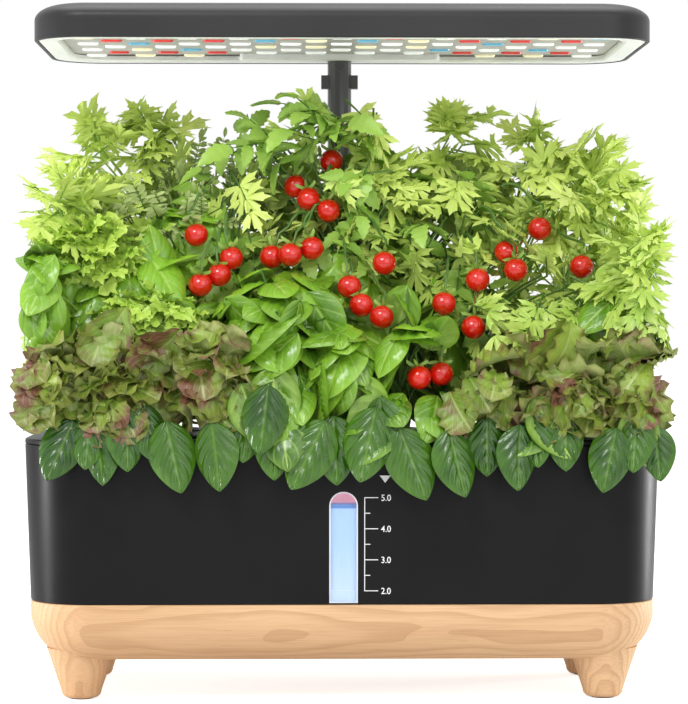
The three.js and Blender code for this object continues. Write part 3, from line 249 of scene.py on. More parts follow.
@dataclass(frozen=True)
class LightOak:
    """Oiled light oak whose growth layers run along the base and arch over the legs."""

    light: Colour = paint(238, 199, 154)
    middle: Colour = paint(222, 179, 134)
    dark: Colour = paint(188, 138, 94)
    pore: Colour = paint(160, 112, 74)
    layer: float = 0.0031
    tilt: float = 0.42
    sway: float = 0.022

    def material(self) -> Material:
        """Build the material."""
        sheet = NodeSheet("light_oak", Roughness=0.5)
        _, deep, high = sheet.axes()
        depth = sheet.sums("MULTIPLY_ADD", high, self.tilt, deep)
        depth = sheet.sums("MULTIPLY_ADD", sheet.streaks((5, 16, 16), 3), self.sway, depth)
        late = sheet.spread(sheet.sums("FRACT", sheet.sums("DIVIDE", depth, self.layer)), 0.35, 1.0)
        fibre, pores = sheet.streaks((26, 1500, 1500)), sheet.streaks((55, 2600, 2600), 1)
        base = sheet.blend(sheet.spread(sheet.streaks((3, 22, 22)), 0.3, 0.7), self.middle, self.light)
        grain = sheet.blend(sheet.times(late, 0.42), base, self.dark)
        grain = sheet.blend(sheet.spread(fibre, 0.35, 0.75, 0.0, 0.3), grain, self.dark)
        sheet.colour(sheet.blend(sheet.spread(pores, 0.66, 0.78, 0.0, 0.45), grain, self.pore))
        sheet.to_shader("Roughness", sheet.spread(fibre, 0.3, 0.7, 0.42, 0.58))
        sheet.bump(sheet.sums("SUBTRACT", fibre, sheet.times(pores, 0.6)), 0.12, 0.0002)
        return sheet.material


@dataclass(frozen=True)
class Moulded:
    """Moulded plastic with a fine spark texture and a little unevenness in its gloss."""

    name: str
    colour: Colour
    roughness: float = 0.45
    grain: float = 1700.0
    depth: float = 0.1
    shine: float = 0.5

    def material(self) -> Material:
        """Build the material."""
        sheet = NodeSheet(self.name, Specular_IOR_Level=self.shine)
        cloud, lighter = sheet.noise(18.0, 3), shaded(self.colour, 1.18, 0.001)
        sheet.colour(sheet.blend(sheet.spread(cloud, 0.3, 0.7), self.colour, lighter))
        sheet.to_shader("Roughness", sheet.spread(cloud, 0.3, 0.7, self.roughness - 0.03, self.roughness + 0.04))
        sheet.bump(sheet.noise(self.grain), self.depth)
        return sheet.material


@dataclass(frozen=True)
class Metal:
    """Drawn or plated metal with fine lines along one direction."""

    name: str
    colour: Colour
    roughness: float
    metallic: float
    stretch: Vec = (900.0, 900.0, 30.0)

    def material(self) -> Material:
        """Build the material."""
        sheet = NodeSheet(self.name, Metallic=self.metallic)
        lines = sheet.streaks(self.stretch)
        sheet.colour(sheet.blend(lines, shaded(self.colour, 0.8), self.colour))
        sheet.to_shader("Roughness", sheet.spread(lines, 0.3, 0.7, self.roughness - 0.05, self.roughness + 0.05))
        sheet.bump(lines, 0.05)
        return sheet.material


@dataclass(frozen=True)
class ClearPane:
    """Polished clear plastic of the level window."""

    def material(self) -> Material:
        """Build the material."""
        sheet = NodeSheet("clear_pane", Base_Color=paint(240, 246, 255), Roughness=0.04, IOR=1.45,
                          Transmission_Weight=1.0)
        sheet.bump(sheet.noise(400.0), 0.01)
        return sheet.material


@dataclass(frozen=True)
class GaugeWater:
    """Nutrient water in the sight channel: pale blue at its foot, deeper blue higher up and towards its sides, with a
    painted glow.
    """

    def material(self) -> Material:
        """Build the material."""
        # Painted glow: the water gives off pale blue light.
        sheet = NodeSheet("gauge_water", Roughness=0.12, Emission_Color=paint(206, 230, 255), Emission_Strength=0.3)
        across, _, height = sheet.axes()
        water = sheet.blend(sheet.spread(height, 0.062, 0.1), paint(226, 243, 255), paint(190, 225, 255))
        edge = sheet.spread(sheet.sums("ABSOLUTE", across), 0.005, 0.008)
        sheet.colour(sheet.blend(sheet.times(edge, 0.35), water, paint(140, 190, 250)))
        return sheet.material


@dataclass(frozen=True)
class Channel:
    """White channel behind the window, with a painted rosy light above the water and a painted rosy glow all over."""

    def material(self) -> Material:
        """Build the material."""
        # Painted light: a rosy glow over the whole channel, and a rosy cast on its colour above the water.
        sheet = NodeSheet("sight_channel_white", Roughness=0.45, Emission_Color=paint(232, 158, 166),
                          Emission_Strength=0.5)
        above = sheet.spread(sheet.axes()[2], 0.113, 0.119)
        painted_rosy_light = sheet.blend(sheet.noise(90.0), paint(226, 184, 192), paint(206, 160, 170))
        sheet.colour(sheet.blend(above, paint(232, 242, 252), painted_rosy_light))
        sheet.bump(sheet.noise(900.0, 1), 0.04)
        return sheet.material


@dataclass(frozen=True)
class Reflector:
    """Silver-grey reflector sheet between the lenses, with a painted dark olive reflection and shade along the back
    wall.
    """

    def material(self) -> Material:
        """Build the material."""
        sheet = NodeSheet("reflector", Metallic=0.35, Roughness=0.4)
        silver = sheet.blend(sheet.noise(60.0, 3), paint(176, 174, 166), paint(206, 204, 196))
        # Painted reflection and shade: dark olive towards the back wall.
        sheet.colour(sheet.blend(sheet.spread(sheet.axes()[1], 0.05, 0.064), silver, paint(96, 94, 74)))
        sheet.bump(sheet.noise(1200.0), 0.06)
        return sheet.material


@dataclass(frozen=True)
class Lens:
    """Milky lens over one lamp, tinted by the colour under it."""

    name: str
    colour: Colour
    glow: float = 0.4

    def material(self) -> Material:
        """Build the material."""
        sheet = NodeSheet(self.name, Roughness=0.22, Coat_Weight=0.3, Emission_Color=self.colour,
                          Emission_Strength=self.glow)
        sheet.colour(sheet.blend(sheet.noise(260.0), self.colour, shaded(self.colour, 1.25, 0.02)))
        return sheet.material


@dataclass(frozen=True)
class Board:
    """Circuit board with the faint relief of its tracks."""

    def material(self) -> Material:
        """Build the material."""
        sheet = NodeSheet("circuit_board", Roughness=0.4)
        tracks = sheet.add("ShaderNodeTexBrick", {"Vector": sheet.place(), "Scale": 140.0, "Mortar Size": 0.12})
        sheet.colour(sheet.blend(tracks.outputs["Fac"], paint(26, 88, 56), paint(48, 122, 78)))
        sheet.bump(tracks.outputs["Fac"], 0.1)
        return sheet.material


@dataclass(frozen=True)
class Sponge:
    """Open-pored grow sponge."""

    def material(self) -> Material:
        """Build the material."""
        sheet = NodeSheet("grow_sponge", Roughness=0.95)
        pores = sheet.add("ShaderNodeTexVoronoi", {"Vector": sheet.place(), "Scale": 900.0}).outputs["Distance"]
        sheet.colour(sheet.blend(sheet.spread(pores, 0.1, 0.6), paint(46, 34, 24), paint(112, 86, 60)))
        sheet.bump(pores, 0.5, 0.0005)
        return sheet.material


@dataclass(frozen=True)
class LeafSkin:
    """Leaf surface: a ground colour from a tone that holds painted shade and light with a random spread from leaf to
    leaf, lighter veins, and coloured edges.
    """

    name: str
    deep: Colour
    bright: Colour
    vein: Colour
    rim: Colour
    rim_share: float = 0.0
    veins: float = 5.0
    slant: float = 0.35
    vein_strength: float = 0.5
    roughness: float = 0.4
    blotch: Colour | None = None

    def material(self) -> Material:
        """Build the material."""
        sheet = NodeSheet(self.name, Specular_IOR_Level=0.55)
        across, along, light_and_tone = sheet.leaf_marks()
        side = sheet.sums("ABSOLUTE", across)
        under = sheet.add("ShaderNodeAttribute", attribute_name="under").outputs["Fac"]
        # Painted shade and light: the tone takes leaves low down towards the deep green and leaves high up and at the
        # back towards the bright one.
        ground = sheet.blend(light_and_tone, self.deep, self.bright)
        ground = sheet.blend(sheet.spread(sheet.noise(70.0, 3), 0.35, 0.7, 0.0, 0.35), ground, self.bright)
        if self.blotch is not None:
            patch = sheet.spread(sheet.noise(42.0, 3, 0.6), 0.5, 0.62)
            ground = sheet.blend(sheet.times(patch, sheet.spread(side, 0.05, 0.6, 0.45, 1.0)), ground, self.blotch)
        edge = sheet.spread(sheet.sums("MAXIMUM", side, along), 0.55, 1.0, 0.0, self.rim_share)
        ground = sheet.blend(edge, ground, self.rim)
        lines = self.lines(sheet, side, along)
        colour = sheet.blend(sheet.times(lines, self.vein_strength), ground, self.vein)
        sheet.colour(sheet.blend(under, colour, sheet.blend(0.35, colour, self.vein)))
        sheet.to_shader("Roughness", sheet.sums("MULTIPLY_ADD", under, 0.22, self.roughness))
        sheet.bump(sheet.sums("SUBTRACT", sheet.noise(900.0), sheet.times(lines, 0.8)), 0.12, 0.0003)
        return sheet.material

    def lines(self, sheet: NodeSheet, side: Socket, along: Socket) -> Socket:
        """Strength of the veins: the middle one, and the slanting ones that fade towards the edge.

        Args:
            sheet: The leaf's node tree.
            side: Share of the way from the middle to the edge.
            along: Share of the way from the stalk to the tip.

        Returns:
            The strength, 0 to 1.
        """
        phase = sheet.sums("SUBTRACT", sheet.times(along, self.veins), sheet.times(side, self.veins * self.slant))
        wave = sheet.sums("ABSOLUTE", sheet.sums("SINE", sheet.times(phase, math.pi)))
        ribs = sheet.times(sheet.spread(wave, 0.0, 0.42, 1.0, 0.0), sheet.spread(side, 0.75, 1.0, 1.0, 0.0))
        return sheet.sums("MAXIMUM", sheet.times(ribs, 0.55), sheet.spread(side, 0.02, 0.1, 1.0, 0.0))


@dataclass(frozen=True)
class StemSkin:
    """Green stem, streaked along its length."""

    name: str
    deep: Colour
    bright: Colour

    def material(self) -> Material:
        """Build the material."""
        sheet = NodeSheet(self.name, Roughness=0.45)
        streak = sheet.streaks((260, 260, 40))
        sheet.colour(sheet.blend(streak, self.deep, self.bright))
        sheet.bump(streak, 0.1, 0.0003)
        return sheet.material


@dataclass(frozen=True)
class TomatoSkin:
    """Ripe cherry tomato: deep glossy red, a little lighter near its calyx."""

    def material(self) -> Material:
        """Build the material."""
        sheet = NodeSheet("tomato_skin", Roughness=0.16, Coat_Weight=0.5, Coat_Roughness=0.08)
        red = sheet.blend(sheet.noise(120.0), paint(206, 14, 6), paint(236, 36, 16))
        crown = sheet.spread(sheet.leaf_marks()[1], 0.8, 1.0, 0.0, 0.5)
        sheet.colour(sheet.blend(crown, red, paint(226, 84, 24)))
        return sheet.material


# Shapes -----------------------------------------------------------------------------------


@dataclass
class Batch:
    """Surfaces that are gathered into one mesh, with what each corner carries."""

    points: list[np.ndarray] = field(default_factory=list)
    faces: list[np.ndarray] = field(default_factory=list)
    marks: list[np.ndarray] = field(default_factory=list)
    under: list[np.ndarray] = field(default_factory=list)
    total: int = 0

    def add(self, points: np.ndarray, faces: np.ndarray, marks: np.ndarray | None = None,
            under: np.ndarray | None = None) -> None:
        """Add one closed surface.

        The -1 of a triangle is shifted like the other numbers, so from the second surface on it names
        the last corner before it. This is a known fault: thin stray faces at the ends.

        Args:
            points: Corners, in metres.
            faces: Corner numbers, four in a row, with -1 as the fourth one of a triangle.
            marks: Across, along and tone of each corner.
            under: 1 where a corner is on the underside.
        """
        self.points.append(points)
        self.faces.append(faces + self.total)
        self.marks.append(np.zeros((len(points), 3)) if marks is None else marks)
        self.under.append(np.zeros(len(points)) if under is None else under)
        self.total += len(points)

    def piece(self, name: str, finish: Material, smooth: float = 50.0) -> Piece:
        """Make the mesh object.

        Args:
            name: The piece's name.
            finish: Its material.
            smooth: Edges sharper than this angle, in degrees, stay crisp.

        Returns:
            The object, linked to the scene.
        """
        faces = np.vstack(self.faces)
        mesh = bpy.data.meshes.new(name)
        points = np.vstack(self.points).astype(np.float32)
        mesh.vertices.add(len(points))
        mesh.vertices.foreach_set("co", points.ravel())
        counts = np.where(faces[:, 3] < 0, 3, 4)
        loops = faces.ravel()[faces.ravel() >= 0]
        mesh.loops.add(len(loops))
        mesh.loops.foreach_set("vertex_index", loops.astype(np.int32))
        mesh.polygons.add(len(counts))
        mesh.polygons.foreach_set("loop_start", np.concatenate([[0], np.cumsum(counts)[:-1]]).astype(np.int32))
        mesh.update(calc_edges=True)
        for label, kind, entry, values in (("leaf", "FLOAT_VECTOR", "vector", np.vstack(self.marks)),
                                           ("under", "FLOAT", "value", np.concatenate(self.under))):
            carried = mesh.attributes.new(label, kind, "POINT").data
            carried.foreach_set(entry, values.astype(np.float32).ravel())
        return finished(name, mesh, finish, smooth)


def finished(name: str, mesh: bpy.types.Mesh, finish: Material, smooth: float) -> Piece:
    """Shade a mesh, give it its material and link it as an object.

    Args:
        name: The piece's name.
        mesh: Its mesh.
        finish: Its material.
        smooth: Edges sharper than this angle, in degrees, stay crisp.

    Returns:
        The object.
    """
    dress_mesh(mesh, finish, smooth)
    mesh.update()
    return linked(name, mesh)


def linked(name: str, data: bpy.types.ID) -> Piece:
    """A new object of the scene."""
    thing = bpy.data.objects.new(name, data)
    bpy.context.scene.collection.objects.link(thing)
    return thing


def dress_mesh(mesh: bpy.types.Mesh, finish: Material, smooth: float) -> None:
    """Give a mesh one material and smooth its round sides."""
    mesh.materials.clear()
    mesh.materials.append(finish)
    mesh.polygons.foreach_set("use_smooth", np.ones(len(mesh.polygons), bool))
    mesh.set_sharp_from_angle(angle=math.radians(smooth))


def keep(piece: Piece, body: str, slot: str, *nodes: str) -> Piece:
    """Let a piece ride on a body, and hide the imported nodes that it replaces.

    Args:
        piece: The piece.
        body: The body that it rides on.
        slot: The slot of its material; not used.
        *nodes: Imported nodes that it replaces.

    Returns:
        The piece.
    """
    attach(piece, body)
    if nodes:
        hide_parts(*nodes)
    return piece


def rounded_ring(half_x: float, half_y: float, radius: float, z: float, facets: int = 14,
                 centre: Spot = (0, 0)) -> Ring:
    """A rounded rectangle as a ring of points, anticlockwise seen from above.

    Args:
        half_x: Half its width.
        half_y: Half its depth.
        radius: Radius of its corners.
        z: Its height.
        facets: Facets of each corner.
        centre: Its middle.

    Returns:
        The ring, in millimetres.
    """
    ring = []
    for quarter, (sign_x, sign_y) in enumerate(((1, 1), (-1, 1), (-1, -1), (1, -1))):
        for i in range(facets + 1):
            angle = (quarter + i / facets) * math.pi / 2
            ring.append((sign_x * (half_x - radius) + radius * math.cos(angle) + centre[0],
                         sign_y * (half_y - radius) + radius * math.sin(angle) + centre[1], z))
    return ring


def circle(radius: float, z: float, facets: int = 48, centre: Spot = (0, 0)) -> Ring:
    """A level ring of points round an upright axis."""
    turn = [2 * math.pi * i / facets for i in range(facets)]
    return [(centre[0] + radius * math.cos(a), centre[1] + radius * math.sin(a), z) for a in turn]


def half_circle(radius: float, centre: Spot, facets: int) -> list[Spot]:
    """The upper half of a circle, from its right end to its left one."""
    turn = [math.pi * i / facets for i in range(facets + 1)]
    return [(centre[0] + radius * math.cos(a), centre[1] + radius * math.sin(a)) for a in turn]


def skin(rings: Sequence[Ring], closed: bool) -> Shape:
    """Join rings of equal length by faces, each one to the next.

    Args:
        rings: The rings, anticlockwise seen from above.
        closed: Whether the last one is joined to the first.

    Returns:
        Points and faces.
    """
    count, total = len(rings[0]), len(rings)
    faces = []
    for k in range(total if closed else total - 1):
        low, high = k * count, (k + 1) % total * count
        faces += [[low + i, low + (i + 1) % count, high + (i + 1) % count, high + i] for i in range(count)]
    return [point for ring in rings for point in ring], faces


def loft(rings: Sequence[Ring]) -> Shape:
    """Skin rings of equal length, lowest first, and close both ends."""
    points, faces = skin(rings, False)
    ends = list(range(len(rings[0])))
    last = len(points) - len(ends)
    return points, faces + [ends[::-1], [last + i for i in ends]]


def rod(radius: float, low: float, high: float, facets: int, centre: Spot) -> Shape:
    """An upright round rod between two heights."""
    return loft([circle(radius, z, facets, centre) for z in (low, high)])


def bar(section: Sequence[Spot], left: float, right: float) -> Shape:
    """A bar that runs across, from its section as depth and height."""
    return loft([[(x, y, z) for y, z in section] for x in (left, right)])


def solid(name: str, shape: Shape, finish: Material) -> Piece:
    """Make an object from points in millimetres and faces."""
    mesh = bpy.data.meshes.new(name)
    mesh.from_pydata([(x * MM, y * MM, z * MM) for x, y, z in shape[0]], [], shape[1])
    mesh.update()
    return finished(name, mesh, finish, CREASE)


def evaluated(thing: Piece) -> bpy.types.Mesh:
    """The mesh that an object has after its modifiers."""
    graph = bpy.context.evaluated_depsgraph_get()
    return bpy.data.meshes.new_from_object(thing.evaluated_get(graph))


def carved(target: Piece, tool: Piece | Shape, operation: str = "DIFFERENCE") -> Piece:
    """Cut or join two solids, and drop the second one.

    Args:
        target: The solid that is kept.
        tool: The solid that cuts it or is joined to it, or its points and faces.
        operation: A Boolean modifier's operation.

    Returns:
        The solid with its new mesh.
    """
    finish = target.data.materials[0]
    if not isinstance(tool, Piece):
        tool = solid("tool", tool, finish)
    modifier = target.modifiers.new("shape", "BOOLEAN")
    modifier.operation = operation
    modifier.solver = "EXACT"
    modifier.object = tool
    mesh = evaluated(target)
    target.modifiers.clear()
    target.data = mesh
    dress_mesh(mesh, finish, CREASE)
    mesh.polygons.foreach_set("material_index", np.zeros(len(mesh.polygons), np.int32))
    bpy.data.objects.remove(tool)
    return target


def joined(shapes: Sequence[Shape]) -> Shape:
    """Several shapes as one."""
    points: list[Vec] = []
    faces: list[list[int]] = []
    for more, rims in shapes:
        faces += [[len(points) + i for i in rim] for rim in rims]
        points += more
    return points, faces


def tube(path: Sequence[Vector], radii: Sequence[float], sides: int,
         across: Vec = (0.31, 0.83, 0.46)) -> tuple[np.ndarray, np.ndarray]:
    """A round stem along a path, closed at both ends.

    Args:
        path: Points in metres.
        radii: Radius at each point, in metres.
        sides: Facets round the stem.
        across: A direction that the path never takes.

    Returns:
        Points and four-cornered faces; the ends are closed by rings drawn together.
    """
    places = [path[0]] + list(path) + [path[-1]]
    sizes = [radii[0] * 0.1] + list(radii) + [radii[-1] * 0.1]
    turn, side_way, rings = [2 * math.pi * k / sides for k in range(sides)], Vector(across), []
    for i, (place, radius) in enumerate(zip(places, sizes)):
        ahead = places[min(i + 1, len(places) - 1)] - places[max(i - 1, 0)]
        first = ahead.cross(side_way).normalized()
        second = ahead.cross(first).normalized()
        rings.append([place + (first * math.cos(a) + second * math.sin(a)) * radius for a in turn])
    points, faces = skin(rings, False)
    for start, order in ((0, 1), ((len(places) - 1) * sides, -1)):
        ring = [start + k for k in range(sides)][::-order]
        for k in range(1, sides - 1, 2):
            faces.append([ring[0], ring[k], ring[k + 1], ring[k + 2] if k + 2 < sides else -1])
    return np.array([tuple(p) for p in points]), np.array(faces)


def arc_path(start: Vector, end: Vector, sag: Vector, steps: int) -> list[Vector]:
    """A smooth bow from start to end, drawn towards a side by sag."""
    shares = [i / steps for i in range(steps + 1)]
    return [start.lerp(end, t) + sag * (4 * t * (1 - t)) for t in shares]


# The hard parts ---------------------------------------------------------------------------


@dataclass
class Body:
    """Sizes that base, tank and deck share, and their common outline."""

    seam: float = 58.5
    deck_top: float = 154.0
    half_x: float = 184.25
    half_y: float = 82.75
    corner: float = 38.0
    draft: float = 3.25
    bottom: float = 24.5
    edge_wide: float = 20.0
    edge_high: float = 24.0
    edge_bulge: float = 4.0

    def lean(self, z: float) -> float:
        """How far the walls stand out at a height, against the seam."""
        return max(0.0, z - self.seam) * self.draft / (self.deck_top - self.seam)

    def ring(self, inset: float, z: float) -> Ring:
        """The outline at a height, drawn in by an inset."""
        out = self.lean(z) - inset
        return rounded_ring(self.half_x + out, self.half_y + out, self.corner + out, z)

    def edge(self, inset: float, lift: float, steps: int = 14) -> list[Ring]:
        """The swept lower edge.

        Args:
            inset: How far it is drawn in.
            lift: How far it is raised.
            steps: Steps of its sweep.

        Returns:
            Its rings, lowest first.
        """
        rings = []
        for t in (i / steps for i in range(steps + 1)):
            wide = (1 - t) ** 2 * self.edge_wide + 2 * t * (1 - t) * self.edge_bulge
            high = 2 * t * (1 - t) * self.edge_high / 4 + t ** 2 * self.edge_high
            rings.append(self.ring(inset + wide, self.bottom + lift + high))
        return rings


@dataclass
class WoodBase:
    """Wood base with its four turned legs and their pads."""

    body: Body
    rim_wall: float = 4.5
    floor: float = 4.0
    leg_top: float = 18.5
    leg_foot: float = 11.8
    leg_rounding: float = 4.0
    leg_inset_x: float = 30.0
    leg_inset_y: float = 34.5
    root: float = 6.0
    pad_proud: float = 0.6
    rim_break: float = 0.5
    cut_past: float = 3.0

    def build(self) -> None:
        """Build the base and its legs as one solid."""
        body = self.body
        outside = body.edge(0, 0) + [body.ring(0, body.seam - self.rim_break), body.ring(self.rim_break, body.seam)]
        base = solid("oak_base", loft(outside), LightOak().material())
        for sign_x in (-1, 1):
            for sign_y in (-1, 1):
                centre = (sign_x * (body.half_x - self.leg_inset_x), sign_y * (body.half_y - self.leg_inset_y))
                carved(base, self.leg(centre), "UNION")
        inside = body.edge(self.rim_wall, self.floor) + [body.ring(self.rim_wall, body.seam + self.cut_past)]
        keep(carved(base, loft(inside)), "base", "light_oak", "wood_base")

    def leg(self, centre: Spot, steps: int = 6) -> Shape:
        """One tapered leg, rounded at its foot.

        Args:
            centre: Its middle.
            steps: Steps of the rounding.

        Returns:
            Points and faces.
        """
        rise = self.body.bottom - self.pad_proud - self.leg_rounding
        slope = (self.leg_top - self.leg_foot) / rise
        rings = []
        for angle in (i / steps * math.pi / 2 for i in range(steps + 1)):
            radius = self.leg_foot - self.leg_rounding * (1 - math.sin(angle))
            rings.append(circle(radius, self.pad_proud + self.leg_rounding * (1 - math.cos(angle)), centre=centre))
        rings.append(circle(self.leg_top + slope * self.root, self.body.bottom + self.root, centre=centre))
        return loft(rings)


@dataclass
class Tank:
    """Water tank, its level window, gauge scale and the water behind the window."""

    body: Body
    wall: float = 2.5
    seat_inset: float = 4.8
    seat_lift: float = 4.3
    step_break: float = 0.4
    rim: float = 150.7
    rim_break: float = 0.5
    gap: float = 0.3
    cut_past: float = 3.0

    window_width: float = 16.0
    window_height: float = 64.0
    sill: float = 1.4
    pane_thickness: float = 1.8
    pane_recess: float = 0.25
    frame_fit: float = 0.05
    frame_width: float = 0.75
    frame_back: float = -0.15
    frame_front: float = 0.12

    scale_low: float = 66.7
    litre: float = 18.03
    line_x: float = 12.2
    line_half: float = 0.22
    long_end: float = 20.0
    short_tick: float = 3.2
    digits_x: float = 21.6
    digits_size: float = 5.2
    digits_narrow: float = 0.92
    digits_middle: float = 1.85
    digits_thick: float = 0.065
    digits_bold: float = 0.02
    digits_out: float = 0.015
    peak_x: float = 24.0
    peak_half: float = 3.2
    peak_rise: float = 8.6
    peak_high: float = 4.2
    print_back: float = -0.05
    print_front: float = 0.08

    water_half: float = 7.7
    water_back: float = 6.0
    water_front: float = 2.9
    water_low: float = 66.6
    water_high: float = 114.4
    water_y: float = -80.0
    foot_half: float = 7.9
    foot_low: float = 0.3
    foot_high: float = 6.6
    foot_front: float = -2.15
    foot_back: float = -2.7

    def wall_y(self, z: float, out: float = 0.0) -> float:
        """Where the front wall's face is at a height, out towards the viewer."""
        return -(self.body.half_y + self.body.lean(z)) - out

    def arch(self, grow: float) -> list[Spot]:
        """Outline of the window, across and up from its foot."""
        half = self.window_width / 2 + grow
        shoulder = self.window_height - self.window_width / 2
        return [(-half, -grow), (half, -grow)] + half_circle(half, (0, shoulder), 28)

    def on_wall(self, outline: Sequence[Spot], out: float, foot: float = 0.0) -> Ring:
        """An outline laid on the leaning wall.

        Args:
            outline: Across and up from a foot.
            out: How far it stands out of the wall.
            foot: Height of the foot.

        Returns:
            The outline as a ring.
        """
        return [(x, self.wall_y(foot + up, out), foot + up) for x, up in outline]

    def slab(self, outline: Sequence[Spot], front: float, back: float) -> Shape:
        """A slab of an outline that lies along the leaning wall.

        Args:
            outline: Across and up from the foot of the window.
            front: How far its face stands out of the wall.
            back: How far its back stands out of the wall.

        Returns:
            Points and faces.
        """
        return loft([self.on_wall(outline, out, self.body.seam + self.sill) for out in (back, front)])

    def printed(self, outline: Sequence[Spot]) -> Shape:
        """A thin printed shape on the wall, from across and height."""
        return loft([self.on_wall(outline, out) for out in (self.print_back, self.print_front)])

    def build(self) -> None:
        """Build the tank, its window, the gauge scale and the water column."""
        black = Moulded("tank_black", paint(17, 17, 18), 0.36, depth=0.14, shine=0.16).material()
        body, step = self.body, self.body.seam + self.gap
        outside = body.edge(self.seat_inset, self.seat_lift) + [
            body.ring(self.seat_inset, step), body.ring(self.step_break, step), body.ring(0, step + self.step_break),
            body.ring(0, self.rim - self.rim_break), body.ring(self.rim_break, self.rim)]
        deep = self.seat_inset + self.wall
        inside = body.edge(deep, self.seat_lift + self.wall) + [
            body.ring(deep, step + self.wall), body.ring(self.wall, step + self.wall), body.ring(self.wall, self.rim)]
        tank = solid("tank", loft(outside + inside[::-1]), black)
        carved(tank, self.slab(self.arch(self.gap), self.cut_past, -self.wall - self.cut_past))
        keep(tank, "base", "tank_black", "water_tank")
        self.build_window()
        self.build_scale()
        self.build_water()

    def build_window(self) -> None:
        """The clear pane and the pale rim round it."""
        pane = self.slab(self.arch(0), -self.pane_recess, -self.pane_recess - self.pane_thickness)
        keep(solid("window_pane", pane, ClearPane().material()), "base", "clear_plastic", "level_window")
        white = Moulded("window_rim_white", paint(214, 220, 228), 0.3, depth=0.02).material()
        grow, foot = self.gap - self.frame_fit, self.body.seam + self.sill
        outer, inner = self.arch(grow), self.arch(grow - self.frame_width)
        back, front = self.frame_back, self.frame_front
        corners = ((outer, back), (outer, front), (inner, front), (inner, back))
        rings = [self.on_wall(outline, out, foot) for outline, out in corners]
        keep(solid("window_rim", skin(rings, True), white), "base", "white_plastic")

    def build_scale(self) -> None:
        """The printed scale: a line, ticks with their numbers, and a small triangle at the top."""
        ink = Moulded("scale_white", paint(236, 236, 236), 0.5, depth=0.02).material()
        low, half, line = self.scale_low, self.line_half, self.line_x
        bars = [(line - half, line + half, low - half, low + 3 * self.litre + half)]
        for k in range(7):
            z, end = low + k * self.litre / 2, line + self.short_tick if k % 2 else self.long_end
            bars.append((line, end, z - half, z + half))
        outlines = [[(x0, z0), (x1, z0), (x1, z1), (x0, z1)] for x0, x1, z0, z1 in bars]
        peak, base = low + 3 * self.litre + self.peak_rise, self.peak_x
        outlines.append([(base, peak), (base + self.peak_half, peak + self.peak_high),
                         (base - self.peak_half, peak + self.peak_high)])
        shapes = [self.printed(outline) for outline in outlines]
        shapes += [self.number(f"{5 - k}.0", low + (3 - k) * self.litre) for k in range(4)]
        keep(solid("gauge_scale", joined(shapes), ink), "base", "white_plastic")

    def number(self, text: str, z: float) -> Shape:
        """A number on the wall.

        Args:
            text: The digits.
            z: Height of their middle.

        Returns:
            Points and faces.
        """
        curve = bpy.data.curves.new("digits", "FONT")
        curve.body, curve.size = text, self.digits_size
        curve.extrude, curve.offset = self.digits_thick, self.digits_bold
        holder = linked("digits", curve)
        mesh = evaluated(holder)
        bpy.data.objects.remove(holder)
        points = []
        for across, up, out in (vertex.co for vertex in mesh.vertices):
            height = z + up - self.digits_middle
            wall = self.wall_y(height, out + self.digits_out)
            points.append((self.digits_x + across * self.digits_narrow, wall, height))
        return points, [list(face.vertices) for face in mesh.polygons]

    def build_water(self) -> None:
        """The water in the sight channel, up to a fixed top, and in the channel's foot."""
        water = GaugeWater().material()
        side, low, high = self.foot_half, self.foot_low, self.foot_high
        foot = self.slab([(-side, low), (side, low), (side, high), (-side, high)], self.foot_front, self.foot_back)
        half, rings = self.water_half, []
        for z in (self.water_low, self.water_high):
            y0, y1 = self.wall_y(z) + self.water_back, self.wall_y(z) + self.water_front
            rings.append([(-half, y1, z), (half, y1, z), (half, y0, z), (-half, y0, z)])
        keep(solid("channel_foot", foot, water), "base", "white_plastic")
        column = solid("gauge_water", loft(rings), water)
        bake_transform(column)


@dataclass
class Pods:
    """Where the thirteen pods are."""

    pitch: float = 68.0
    row_pitch: float = 47.0
    back: float = -3.0
    hole: float = 15.6

    def centres(self) -> list[Spot]:
        """Centres of the pods, front row first, left to right."""
        found = []
        for row, count in enumerate((4, 5, 4)):
            y = self.back + (row - 1) * self.row_pitch
            found += [((i - (count - 1) / 2) * self.pitch, y) for i in range(count)]
        return found


